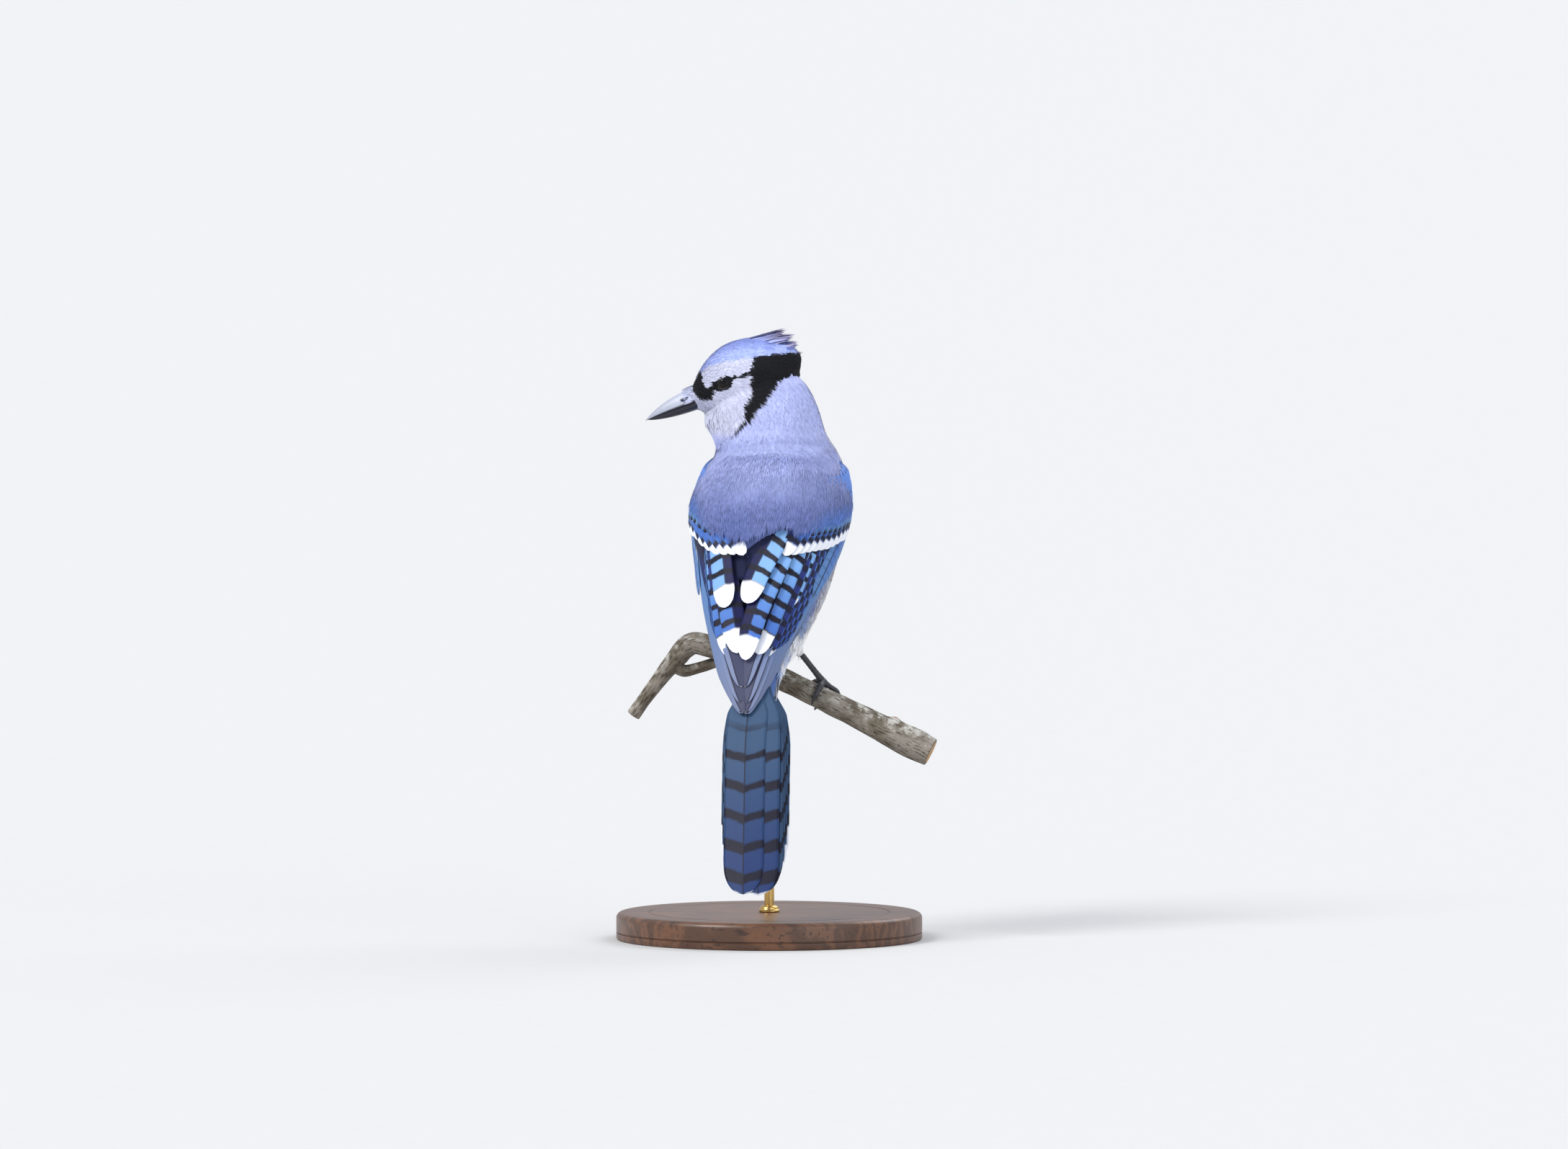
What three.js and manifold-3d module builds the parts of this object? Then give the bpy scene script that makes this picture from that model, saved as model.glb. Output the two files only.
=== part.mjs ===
// A life-size blue jay on a short cut branch, held up by a plain display stand.
//
// Millimetres, +Z up. The origin is the middle of the stand's underside. The bird faces +Y, so its right
// side is at +X; its head is turned over its left shoulder and its tail hangs down behind the branch.
// Flesh is lofted whole from stations along the spine and along the head, then parted with thin cuts.
// Feathers are curved vanes set in tiers on a wing sheet, on the rump and on the crown.

import * as THREE from 'three';
import Module from 'manifold-3d';

const wasm = await Module();
wasm.setup();

// Driving dimensions

const GAP = 0.3; // between sub-parts that touch
const FINENESS = 0.075; // slivers thinner than this, left by the joins, are closed
const CUT_SIDE = 400; // side of the blocks that cut

const STAND_RADIUS = 68;
const STAND_THICK = 12;
const STAND_EDGE = 2.5; // rounding of the base's upper rim
const ROD_RADIUS = 2.2;
const ROD_COLLAR_RADIUS = 4.6;
const ROD_COLLAR_HEIGHT = 3;

// The branch's middle line: x, y, z, radius. It climbs to the left, bends over and ends in a thinner stick.
const BRANCH = [
  [73, 1, 84, 6.3],
  [63, 0.5, 88.8, 6.9],
  [50, 0, 95, 5.9],
  [26.6, 0, 106, 5.2],
  [0, 0, 118.6, 5.0],
  [-15, 0, 125.4, 4.8],
  [-28, 0, 130.2, 4.9],
  [-36, -0.5, 130.6, 4.9],
  [-44, -1.5, 122, 4.0],
  [-53, -3, 110, 3.3],
  [-61, -4, 99, 3.1],
];
// A broken side shoot that leaves the thin end and passes behind the bird
const SHOOT = [
  [-42, -1.5, 120.5, 3.0],
  [-38, 0, 118.8, 2.6],
  [-31, 2, 120.6, 2.4],
  [-24, 4, 123.2, 2.3],
];
const BRANCH_SIDES = 12;
const BRANCH_RINGS = 24;

// Stations up the body, from the tip of the tail coverts to inside the head: middle x, y, z,
// half width under the wings, half width in front of them, depth towards the back and towards the belly
const SPINE = [
  [4.0, -47.6, 88, 5.4, 6.0, 1.4, 2.4],
  [2.8, -41.8, 100, 8.4, 9.0, 2.4, 4.8],
  [1.2, -35.4, 112, 10.0, 11.5, 3.2, 7.2],
  [-0.8, -27.6, 124, 12.6, 15.0, 5.8, 9.4],
  [-2.0, -15.7, 139, 17.6, 23.6, 12.0, 13.0],
  [-2.1, -3.1, 157, 24.0, 29.6, 20.5, 23.2],
  [-2.0, 7.6, 176, 28.6, 33.0, 24.5, 30.5],
  [-1.0, 15.3, 195, 29.6, 33.4, 27.5, 30.0],
  [-0.2, 18.2, 211, 28.6, 30.6, 27.0, 26.5],
  [-3.0, 16.8, 222, 26.0, 26.4, 25.0, 22.5],
  [-4.9, 14.2, 231, 26.0, 26.2, 21.6, 19.8],
  [-6.0, 11.8, 242, 23.4, 23.4, 17.0, 16.5],
  [-6.5, 11.0, 251, 17.5, 17.5, 12.5, 12.5],
  [-8.0, 11.0, 258, 8.0, 8.0, 6.0, 6.0],
];
const BODY_SIDES = 28;
const BODY_RINGS = 30;
const BODY_SQUARENESS = 2.2; // exponent of the sections: 2 is an ellipse
const TAIL_CUT = 0.19; // shares of the spine where the flesh is parted
const NECK_CUT = 0.64;

// The head, in its own frame: f forwards, l to its left, u up. Stations from the bill back to the nape:
// f, middle u, half height, half width
const HEAD_AT = [-16.7, 11, 248];
const HEAD_YAW = THREE.MathUtils.degToRad(95); // turned to the left from +Y
const HEAD = [
  [21.5, -8.9, 4.6, 4.6],
  [19.5, -7.6, 6.6, 6.2],
  [16.5, -4.6, 10.3, 8.8],
  [12.0, -1.6, 13.3, 11.2],
  [6.0, 0.8, 15.6, 13.0],
  [-1.0, 1.9, 17.0, 14.3],
  [-8.0, 2.5, 17.4, 14.6],
  [-15.0, 3.9, 15.6, 13.4],
  [-21.0, 5.6, 12.0, 10.6],
  [-25.5, 7.4, 7.6, 6.6],
  [-27.5, 8.0, 3.6, 3.0],
];
const HEAD_SIDES = 24;
const HEAD_RINGS = 20;
const THROAT_CUT = { f: -6.5, u: -5.9, rise: 22.5 }; // the cut between head and neck, degrees up to the nape

// The bill, in the head's frame. Its mouth line runs from the gape to the tip.
const BILL_BASE = [19.6, -8.6];
const BILL_TIP = [41.2, -18.0];
const BILL_DROP = 0.4; // how far the hooked tip hangs under the mouth line
const UPPER_HEIGHT = 5.4;
const LOWER_HEIGHT = 4.5;
const BILL_HALF_WIDTH = 4.3;
const NOSTRIL = { along: 0.2, rise: 0.42, length: 2.6, height: 1.3, depth: 0.8 };

const EYE = { f: 6.3, u: -1.6, radius: 4.6, front: 12.7, dish: 5.6, dishDepth: 1.3, lid: 4.25, lidTube: 0.62 };

// The crest: rows of feathers, each root and tip in the head's frame, spread sideways by count
const CREST_ROWS = [
  { root: [3, 17.4], tip: [-18.5, 23.2], spread: 4.6, count: 3, half: 2.3 },
  { root: [-3, 18.4], tip: [-24.5, 24.4], spread: 6.4, count: 3, half: 2.5 },
  { root: [-9, 17.8], tip: [-27.0, 20.6], spread: 8.4, count: 4, half: 2.4 },
  { root: [-14, 15.0], tip: [-28.4, 15.8], spread: 9.6, count: 4, half: 2.2 },
  { root: [-17.5, 11.2], tip: [-28.2, 11.2], spread: 8.4, count: 3, half: 2.3 },
];
const CREST_THICK = 0.95;
const CREST_PINCH = 0.42; // the tips' sideways spread as a share of the roots'

// The sheet over back and folded wings, from the nape to the wing tips:
// middle x, y, z, half width, depth to the back. Share 0 is the shoulder and share 1 the wing tip.
const SHEET = [
  [-1.5, 17.5, 226, 25.4, 25.5],
  [0.0, 17.0, 214, 29.2, 29.0],
  [-0.5, 13.7, 200, 33.8, 31.5],
  [-1.8, 7.3, 184, 35.4, 29.5],
  [-2.2, -2.4, 165, 31.0, 26.0],
  [-3.0, -13.0, 147, 25.8, 22.0],
  [-3.6, -23.5, 130, 19.4, 17.0],
  [-2.8, -34.0, 115, 13.4, 11.0],
  [-1.4, -43.8, 100.5, 4.6, 6.4],
];
// The mantle lies over the wings' roots: share down the sheet, angles of its left and right edge, height in
// the middle and at the edges. Its right edge gives way to the innermost feather of the right wing.
const MANTLE = [
  [-0.13, -84, 84, -3.4, -5.0],
  [-0.06, -88, 88, -1.2, -3.6],
  [0.03, -89, 89, 1.0, -1.4],
  [0.12, -79, 82, 2.0, 0.9],
  [0.2, -64, 67, 2.2, 1.2],
  [0.28, -50, 55, 1.7, 1.2],
  [0.33, -43, 44, 1.3, 1.1],
  [0.37, -36, 26, 1.0, 0.9],
  [0.41, -23, 8, 0.7, 0.7],
  [0.45, -12, -6, 0.3, 0.3],
];
const MANTLE_THICK = 8;
const MANTLE_COLUMNS = 10;

const MEETING = -5.3; // where the right wing's inner edge lies over the left one's
const FLIGHT_THICK = 0.6;
const FLIGHT_TILT = 19; // degrees that each vane leans, outer edge over its outer neighbour
const COVERT_TILT = 12;
const TIP_STEP = 0.14; // how much each feather lies above its outer neighbour at the wing tip

// The tail
const TAIL_ROOT = [1.4, -34.6, 114];
const TAIL_TIP = [8.8, -77.0, 24.6];
const TAIL_THICK = 0.85;
const TAIL_STEP = 0.45;
const TAIL_BOW = 0.8; // how far the vanes bow backwards
// From the middle pair outwards: sideways place of the left and right feather, length as a share, half width
const RECTRICES = [
  { left: -3.6, right: 2.9, share: 1.0, half: 9.0 },
  { left: -4.4, right: 4.8, share: 0.985, half: 8.6 },
  { left: -5.2, right: 5.6, share: 0.96, half: 8.4 },
  { left: -6.0, right: 6.3, share: 0.925, half: 8.2 },
  { left: -6.7, right: 6.9, share: 0.885, half: 8.0 },
  { left: -7.3, right: 7.5, share: 0.83, half: 7.8 },
];

// Legs: where each foot stands along the branch, its heel inside the belly feathers, and the share of the
// way up to it where the feathered part begins. The left leg is folded under the belly.
const LEGS = {
  right: { side: 1, foot: 21.5, heel: [11.6, -12, 134.5], cuff: 0.56 },
  left: { side: -1, foot: -14.0, heel: [-14.5, -5, 150], cuff: 0.08 },
};
const TARSUS_RADIUS = 1.3;
const CUFF_RADIUS = 2.2;
const THIGH_RADIUS = 7.5;
// Toes: turn round the branch from its top in degrees, drift along it in mm, radius at root and at tip,
// turn of the claw. The hind toe turns towards the tail, the front three away from it.
const TOES = [
  { name: 'hind', turn: 84, drift: 0.8, from: 1.55, to: 1.2, claw: 56 },
  { name: 'inner', turn: -104, drift: -6.0, from: 1.35, to: 1.05, claw: 36 },
  { name: 'middle', turn: -128, drift: 1.5, from: 1.45, to: 1.1, claw: 40 },
  { name: 'outer', turn: -84, drift: 9.5, from: 1.35, to: 1.05, claw: 36 },
];
const CLAW_TIP_RADIUS = 0.28;

const COLOURS = {
  crown: ['#6f7fc4', 0.75], nape: ['#7f8bc0', 0.8], back: ['#6a76ad', 0.8], wing: ['#3f74c0', 0.55],
  tail: ['#3c6fae', 0.55], bill: ['#2b2d33', 0.35], eye: ['#120c0a', 0.08], leg: ['#26252a', 0.55],
  claw: ['#1b1a1d', 0.4], bark: ['#9a948d', 0.9], base: ['#3a2418', 0.45], rod: ['#8d7a4c', 0.35],
};

// Small tools

const V = (x, y, z) => new THREE.Vector3(x, y, z);
const mix = (a, b, share) => a + (b - a) * share;
const clamp = (x, low, high) => Math.min(high, Math.max(low, x));
const ease = (x) => x * x * (3 - 2 * x);
const steps = (count) => Array.from({ length: count + 1 }, (_, i) => i / count);

// A smooth value of a table of stations, at a share of its length.
function along(rows, share) {
  const place = clamp(share, 0, 1) * (rows.length - 1);
  const row = Math.min(Math.floor(place), rows.length - 2);
  const x = place - row;
  const at = (i) => rows[clamp(i, 0, rows.length - 1)];
  return rows[0].map((_, k) => {
    const [a, b, c, d] = [row - 1, row, row + 1, row + 2].map((i) => at(i)[k]);
    return b + 0.5 * x * (c - a + x * (2 * a - 5 * b + 4 * c - d + x * (3 * (b - c) + d - a)));
  });
}

// A solid from points and triangles, turned so that its faces point out.
function solidOf(points, triangles) {
  const six = triangles.reduce((sum, [a, b, c]) => {
    const cross = V(0, 0, 0).crossVectors(points[b], points[c]);
    return sum + points[a].dot(cross);
  }, 0);
  const facing = six < 0 ? triangles.map(([a, b, c]) => [a, c, b]) : triangles;
  return new wasm.Manifold(new wasm.Mesh({
    numProp: 3,
    vertProperties: Float32Array.from(points.flatMap((p) => [p.x, p.y, p.z])),
    triVerts: Uint32Array.from(facing.flat()),
  }));
}

// A solid of one of three's closed geometries.
function solidFromGeometry(geometry) {
  const place = geometry.attributes.position;
  const keys = new Map();
  const points = [];
  const shared = Array.from({ length: place.count }, (_, i) => {
    const p = V(place.getX(i), place.getY(i), place.getZ(i));
    const key = p.toArray().map((x) => Math.round(x * 1e4)).join();
    if (!keys.has(key)) {
      keys.set(key, points.length);
      points.push(p);
    }
    return keys.get(key);
  });
  const corners = geometry.index ? Array.from(geometry.index.array) : [...shared.keys()];
  const triangles = [];
  for (let i = 0; i < corners.length; i += 3) {
    const t = [0, 1, 2].map((k) => shared[corners[i + k]]);
    if (new Set(t).size === 3) triangles.push(t);
  }
  return solidOf(points, triangles);
}

// A closed solid through rings of points, with a fan on each end.
function loft(rings) {
  const sides = rings[0].length;
  const points = rings.flat();
  const triangles = [];
  for (let j = 0; j < rings.length - 1; j += 1) {
    for (let i = 0; i < sides; i += 1) {
      const [a, b] = [j * sides + i, j * sides + ((i + 1) % sides)];
      triangles.push([a, b, b + sides], [a, b + sides, a + sides]);
    }
  }
  for (const j of [0, rings.length - 1]) {
    const middle = rings[j].reduce((sum, p) => sum.add(p), V(0, 0, 0)).divideScalar(sides);
    const hub = points.push(middle) - 1;
    for (let i = 0; i < sides; i += 1) {
      const [a, b] = [j * sides + i, j * sides + ((i + 1) % sides)];
      triangles.push(j ? [hub, a, b] : [hub, b, a]);
    }
  }
  return solidOf(points, triangles);
}

// A closed solid between two grids of points with the same rows and columns, split alike on both.
function slab(top, bottom) {
  const [rows, columns] = [top.length, top[0].length];
  const points = [...top.flat(), ...bottom.flat()];
  const under = rows * columns;
  const triangles = [];
  const id = (j, i) => j * columns + i;
  for (let j = 0; j < rows - 1; j += 1) {
    for (let i = 0; i < columns - 1; i += 1) {
      const [a, b, c, d] = [id(j, i), id(j, i + 1), id(j + 1, i + 1), id(j + 1, i)];
      triangles.push([a, b, c], [a, c, d], [under + a, under + c, under + b], [under + a, under + d, under + c]);
    }
  }
  const rim = [];
  for (let i = 0; i < columns; i += 1) rim.push(id(0, i));
  for (let j = 1; j < rows; j += 1) rim.push(id(j, columns - 1));
  for (let i = columns - 2; i >= 0; i -= 1) rim.push(id(rows - 1, i));
  for (let j = rows - 2; j > 0; j -= 1) rim.push(id(j, 0));
  rim.forEach((a, k) => {
    const b = rim[(k + 1) % rim.length];
    triangles.push([b, a, under + a], [b, under + a, under + b]);
  });
  return solidOf(points, triangles);
}

// A tube along points, with a radius at each.
function tube(points, radii, sides) {
  const ahead = points.map((p, i) => {
    const [from, to] = [points[Math.max(i - 1, 0)], points[Math.min(i + 1, points.length - 1)]];
    return to.clone().sub(from).normalize();
  });
  let side = Math.abs(ahead[0].z) < 0.9 ? V(0, 0, 1) : V(0, 1, 0);
  const rings = points.map((p, i) => {
    side = side.clone().addScaledVector(ahead[i], -side.dot(ahead[i])).normalize();
    const other = V(0, 0, 0).crossVectors(ahead[i], side);
    return Array.from({ length: sides }, (_, k) => {
      const angle = (k / sides) * 2 * Math.PI;
      return p.clone()
        .addScaledVector(side, Math.cos(angle) * radii[i])
        .addScaledVector(other, Math.sin(angle) * radii[i]);
    });
  });
  return loft(rings);
}

// Half of space as a block: what lies on the side that a direction points to from a point.
function beyond(at, direction) {
  const block = new THREE.BoxGeometry(CUT_SIDE, CUT_SIDE, CUT_SIDE);
  const turn = new THREE.Quaternion().setFromUnitVectors(V(0, 0, 1), direction.clone().normalize());
  block.translate(0, 0, CUT_SIDE / 2).applyQuaternion(turn).translate(at.x, at.y, at.z);
  return solidFromGeometry(block);
}

const join = (solids) => wasm.Manifold.union(solids);
const largest = (solid) => solid.asOriginal().simplify(FINENESS).decompose().sort((a, b) => b.volume() - a.volume())[0];

// The body

// The frame of the spine at a share of its length: middle, way up the spine, way to the back, sizes.
function spineAt(share) {
  const [x, y, z, narrow, wide, back, belly] = along(SPINE, share);
  const [low, high] = [along(SPINE, share - 0.01), along(SPINE, share + 0.01)];
  const up = V(0, high[1] - low[1], high[2] - low[2]).normalize();
  return { middle: V(x, y, z), up, dorsal: V(0, -up.z, up.y), narrow, wide, back, belly };
}

const rounded = (x) => Math.sign(x) * Math.abs(x) ** (2 / BODY_SQUARENESS);

// The torso and neck as one loft, grown by a distance all round.
function spineLoft(grow) {
  return loft(steps(BODY_RINGS).map((share) => {
    const { middle, up, dorsal, narrow, wide, back, belly } = spineAt(share);
    const end = share === 0 ? -grow : share === 1 ? grow : 0;
    return Array.from({ length: BODY_SIDES }, (_, i) => {
      const angle = (i / BODY_SIDES) * 2 * Math.PI;
      const [across, away] = [rounded(Math.sin(angle)), rounded(Math.cos(angle))];
      const half = mix(narrow, wide, ease(clamp(0.35 - 2.2 * Math.cos(angle), 0, 1)));
      return middle.clone()
        .addScaledVector(V(1, 0, 0), across * (half + grow))
        .addScaledVector(dorsal, away * ((away > 0 ? back : belly) + grow))
        .addScaledVector(up, end);
    });
  }));
}

// A place on the sheet: a share down it, an angle from the middle of the back in degrees (its own right is
// positive) and a height above it.
function sheetPoint(share, angle) {
  const row = (s) => along(SHEET, (s * (SHEET.length - 2) + 1) / (SHEET.length - 1));
  const [x, y, z, width, back] = row(share);
  const [low, high] = [row(share + 0.02), row(share - 0.02)];
  const up = V(0, high[1] - low[1], high[2] - low[2]).normalize();
  const turn = THREE.MathUtils.degToRad(angle);
  return V(x + Math.sin(turn) * width, y, z).addScaledVector(V(0, -up.z, up.y), Math.cos(turn) * back);
}

function onSheet(share, angle, lift) {
  const at = sheetPoint(share, angle);
  const down = sheetPoint(share + 0.01, angle).sub(sheetPoint(share - 0.01, angle));
  const round = sheetPoint(share, angle + 1).sub(sheetPoint(share, angle - 1));
  const out = V(0, 0, 0).crossVectors(down, round).normalize();
  return { at: at.addScaledVector(out, lift), out };
}

// The mantle, which covers the roots of both wings and ends in a point between them.
function mantle(grow) {
  const grid = (depth) => MANTLE.map(([share, left, right, lift, edge], row) => {
    const end = row === 0 ? -0.01 : row === MANTLE.length - 1 ? 0.01 : 0;
    return steps(MANTLE_COLUMNS).map((x) => {
      const angle = mix(left - grow * 0.9, right + grow * 0.9, x);
      return onSheet(share + end * grow, angle, mix(lift, edge, (2 * x - 1) ** 6) + grow - depth).at;
    });
  });
  return slab(grid(0), grid(MANTLE_THICK + grow));
}

const bodyFlesh = (grow) => spineLoft(grow).add(mantle(grow));

// The head

const FORWARD = V(-Math.sin(HEAD_YAW), Math.cos(HEAD_YAW), 0);
const LEFTWARD = V(-Math.cos(HEAD_YAW), -Math.sin(HEAD_YAW), 0);
const inHead = (f, l, u) => V(...HEAD_AT)
  .addScaledVector(FORWARD, f).addScaledVector(LEFTWARD, l).addScaledVector(V(0, 0, 1), u);

function headLoft() {
  return loft(steps(HEAD_RINGS).map((share) => {
    const [f, u, height, width] = along(HEAD, share);
    return Array.from({ length: HEAD_SIDES }, (_, i) => {
      const angle = (i / HEAD_SIDES) * 2 * Math.PI;
      return inHead(f, Math.sin(angle) * width, u + Math.cos(angle) * height);
    });
  }));
}

function ball(at, radius, columns, rows) {
  return solidFromGeometry(new THREE.SphereGeometry(radius, columns, rows).translate(at.x, at.y, at.z));
}

const eyeMiddle = (side) => inHead(EYE.f, side * (EYE.front - EYE.radius), EYE.u);

// Sinks each eye in a shallow dish and rings it with its lids.
function withEyeSockets(head) {
  let made = head;
  for (const side of [1, -1]) {
    const turn = new THREE.Matrix4().makeBasis(FORWARD, V(0, 0, 1), LEFTWARD.clone().multiplyScalar(-1));
    const dish = new THREE.SphereGeometry(1, 14, 8)
      .scale(EYE.dish, EYE.dish, EYE.dishDepth * 2).applyMatrix4(turn);
    const at = inHead(EYE.f, side * (EYE.front + EYE.dishDepth * 0.6), EYE.u);
    dish.translate(at.x, at.y, at.z);
    const ring = new THREE.TorusGeometry(EYE.lid, EYE.lidTube, 6, 16).applyMatrix4(turn);
    const rim = inHead(EYE.f, side * (EYE.front - EYE.dishDepth), EYE.u);
    ring.translate(rim.x, rim.y, rim.z);
    made = made.subtract(solidFromGeometry(dish)).add(solidFromGeometry(ring))
      .subtract(ball(eyeMiddle(side), EYE.radius + GAP, 14, 10));
  }
  return made;
}

// The bill. A share runs from its base to its tip; each half is a loft of half sections on the mouth line.
function billSections(upper) {
  const height = upper ? UPPER_HEIGHT : -LOWER_HEIGHT;
  const reach = upper ? 1 : 0.955;
  const rows = [0, 0.12, 0.3, 0.5, 0.68, 0.84, 0.94, 1];
  return rows.map((row) => {
    const share = row * reach;
    const f = mix(BILL_BASE[0] - 2.2, BILL_TIP[0], share);
    const mouth = mix(BILL_BASE[1] + 0.6, BILL_TIP[1], share) - (upper ? 0 : GAP);
    const taper = upper ? (1 - share ** 2.3) ** 0.9 : (1 - row ** 2.1) ** 0.85;
    const half = BILL_HALF_WIDTH * (1 - share ** 1.35) ** 0.95 + 0.3;
    const hook = upper ? -BILL_DROP * share ** 6 : 0;
    return Array.from({ length: 9 }, (_, i) => {
      const angle = (i / 8) * Math.PI;
      const rise = Math.sin(angle) * (height * taper + Math.sign(height) * 0.35);
      return inHead(f, Math.cos(angle) * half, mouth + hook + rise);
    });
  });
}

function billNodes() {
  const face = beyond(inHead(BILL_BASE[0], 0, BILL_BASE[1]), FORWARD.clone().add(V(0, 0, -0.25)));
  const upper = loft(billSections(true)).intersect(face);
  const pits = [1, -1].map((side) => {
    const f = mix(BILL_BASE[0], BILL_TIP[0], NOSTRIL.along);
    const u = mix(BILL_BASE[1], BILL_TIP[1], NOSTRIL.along) + UPPER_HEIGHT * NOSTRIL.rise;
    const at = inHead(f, side * BILL_HALF_WIDTH * 0.86, u);
    const turn = new THREE.Matrix4().makeBasis(FORWARD, V(0, 0, 1), LEFTWARD.clone().multiplyScalar(-1));
    return solidFromGeometry(new THREE.SphereGeometry(1, 8, 5)
      .scale(NOSTRIL.length / 2, NOSTRIL.height / 2, NOSTRIL.depth).applyMatrix4(turn)
      .translate(at.x, at.y, at.z));
  });
  return { bill_upper: upper.subtract(join(pits)), bill_lower: loft(billSections(false)).intersect(face) };
}

// Feathers

// The outline of a vane: its half width at a share of its length, as a share of the widest.
const vaneOutline = (v, tipStart, wideFrom) => {
  const body = 0.5 + 0.5 * ease(clamp(v / wideFrom, 0, 1));
  const past = clamp((v - tipStart) / (1 - tipStart), 0, 1);
  return body * Math.sqrt(Math.max(1 - past ** 2.4, 0.03));
};

// A vane along a line of places, each with the way across it and the way out of it.
function vane({ line, half, thick, rows, edges = [-1, 0, 1], tipStart = 0.76, wideFrom = 0.4, camber = 0 }) {
  const grids = [[], []];
  for (const v of rows) {
    const { at, across, out } = line(v);
    const width = half * vaneOutline(v, tipStart, wideFrom);
    const deep = (thick * (1 - 0.35 * v)) / 2;
    const row = edges.map((edge) => at.clone()
      .addScaledVector(across, edge * width)
      .addScaledVector(out, -camber * (edge * width) ** 2));
    grids[0].push(row.map((p) => p.clone().addScaledVector(out, deep)));
    grids[1].push(row.map((p) => p.clone().addScaledVector(out, -deep)));
  }
  return slab(grids[0], grids[1]);
}

const LONG_ROWS = [0, 0.3, 0.6, 0.84, 0.95, 1];
const SHORT_ROWS = [0, 0.5, 0.86, 1];

function crestVanes() {
  return CREST_ROWS.flatMap(({ root, tip, spread, count, half }, row) => steps(count - 1).map((share, i) => {
    const side = (share - 0.5) * 2;
    const away = Math.abs(side);
    const ragged = 1 + 0.05 * Math.sin(row * 2.1 + i * 2.7);
    const from = inHead(root[0], side * spread, root[1] - away ** 2 * spread * 0.22 - 1.2);
    const to = inHead(tip[0] * ragged, side * spread * CREST_PINCH, tip[1] - away ** 2 * 2.6);
    const arch = 1.5;
    return vane({
      half, thick: CREST_THICK, rows: [0, 0.35, 0.72, 1], tipStart: 0.45, camber: 0.05,
      line: (v) => {
        const at = from.clone().lerp(to, v).addScaledVector(V(0, 0, 1), arch * 4 * v * (1 - v) * (1 - away * 0.4));
        const ahead = to.clone().sub(from).normalize();
        const lean = LEFTWARD.clone().multiplyScalar(side * 0.55).add(V(0, 0, 1));
        const across = V(0, 0, 0).crossVectors(ahead, lean).normalize();
        return { at, across, out: V(0, 0, 0).crossVectors(across, ahead).normalize() };
      },
    });
  }));
}

// A feather laid on the sheet from one place to another, leaning outwards like a shingle.
function wingVane(side, { from, to, half, lift, tilt = FLIGHT_TILT, sink = 1.4, ...shape }) {
  const lean = THREE.MathUtils.degToRad(tilt) * side;
  const centre = -half * Math.sin(Math.abs(lean));
  const place = (v) => onSheet(mix(from[0], to[0], v), side * mix(from[1], to[1], ease(v) * 0.5 + v * 0.5),
    centre + mix(-sink, lift, ease(clamp(v / 0.45, 0, 1))));
  return vane({
    half, camber: 0.012, ...shape,
    line: (v) => {
      const { at, out } = place(v);
      const ahead = place(Math.min(v + 0.02, 1)).at.sub(place(v - 0.02).at).normalize();
      const flat = V(0, 0, 0).crossVectors(out, ahead).normalize();
      const across = flat.clone().multiplyScalar(Math.cos(lean)).addScaledVector(out, Math.sin(lean)).normalize();
      return { at, across, out: V(0, 0, 0).crossVectors(ahead, across).normalize() };
    },
  });
}

// The flight feathers from the outermost primary to the innermost tertial: places of root and tip as
// share and angle, and half width. The right wing's inner feathers reach over the middle of the back.
function flightFeathers(side) {
  const inner = side > 0 ? [[0.77, 10], [0.7, 5], [0.625, 2]] : [[0.77, 9], [0.7, 11], [0.64, 15]];
  const primaries = [0.75, 0.86, 0.935, 0.975, 1.0, 0.985, 0.95, 0.9].map((tip, i) => ({
    from: [mix(0.3, 0.36, i / 7), mix(93, 82, i / 7)], to: [tip, mix(88, side > 0 ? 4 : 8, (i / 7) ** 0.8)], half: mix(3.2, 4.2, i / 7),
  }));
  const secondaries = steps(4).map((x) => ({
    from: [mix(0.32, 0.28, x), mix(78, 50, x)], to: [mix(0.74, 0.82, x), mix(62, side > 0 ? 12 : 14, x)], half: 4.8,
  }));
  const tertials = inner.map((to, i) => ({ from: [0.3 + i * 0.02, mix(42, side > 0 ? 22 : 30, i / 2)], to, half: 5.3 }));
  return [...primaries, ...secondaries, ...tertials].map((feather, i, { length }) => ({
    ...feather, lift: -0.3 - TIP_STEP * (length - 1 - i) * ease(feather.to[0]), thick: FLIGHT_THICK, rows: LONG_ROWS,
  }));
}

// The rows of coverts: bastard wing and primary coverts, then greater, median and lesser coverts.
function coverts() {
  const outer = steps(2).map((x) => ({
    from: [mix(0.15, 0.22, x), mix(98, 92, x)], to: [mix(0.42, 0.52, x), mix(95, 80, x)], half: 3.8, lift: 0,
  }));
  const greater = steps(7).map((x) => ({
    from: [mix(0.14, 0.3, x), mix(92, 40, x)], to: [mix(0.33, 0.455, x ** 0.8), mix(91, 20, x)], half: 3.6, lift: 0.5,
  }));
  const median = steps(4).map((x) => ({
    from: [mix(0.06, 0.2, x), mix(91, 56, x)], to: [mix(0.24, 0.35, x), mix(90, 46, x)], half: 4.0, lift: 0.8,
  }));
  const lesser = steps(3).map((x) => ({
    from: [mix(0.0, 0.12, x), mix(91, 68, x)], to: [mix(0.16, 0.25, x), mix(89, 60, x)], half: 4.2, lift: 0.9,
  }));
  return [...outer, ...greater, ...median, ...lesser].map((feather) => ({
    ...feather, tilt: COVERT_TILT, sink: 0.9, rows: SHORT_ROWS, edges: [-1, 1], thick: 0.65,
  }));
}

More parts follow.
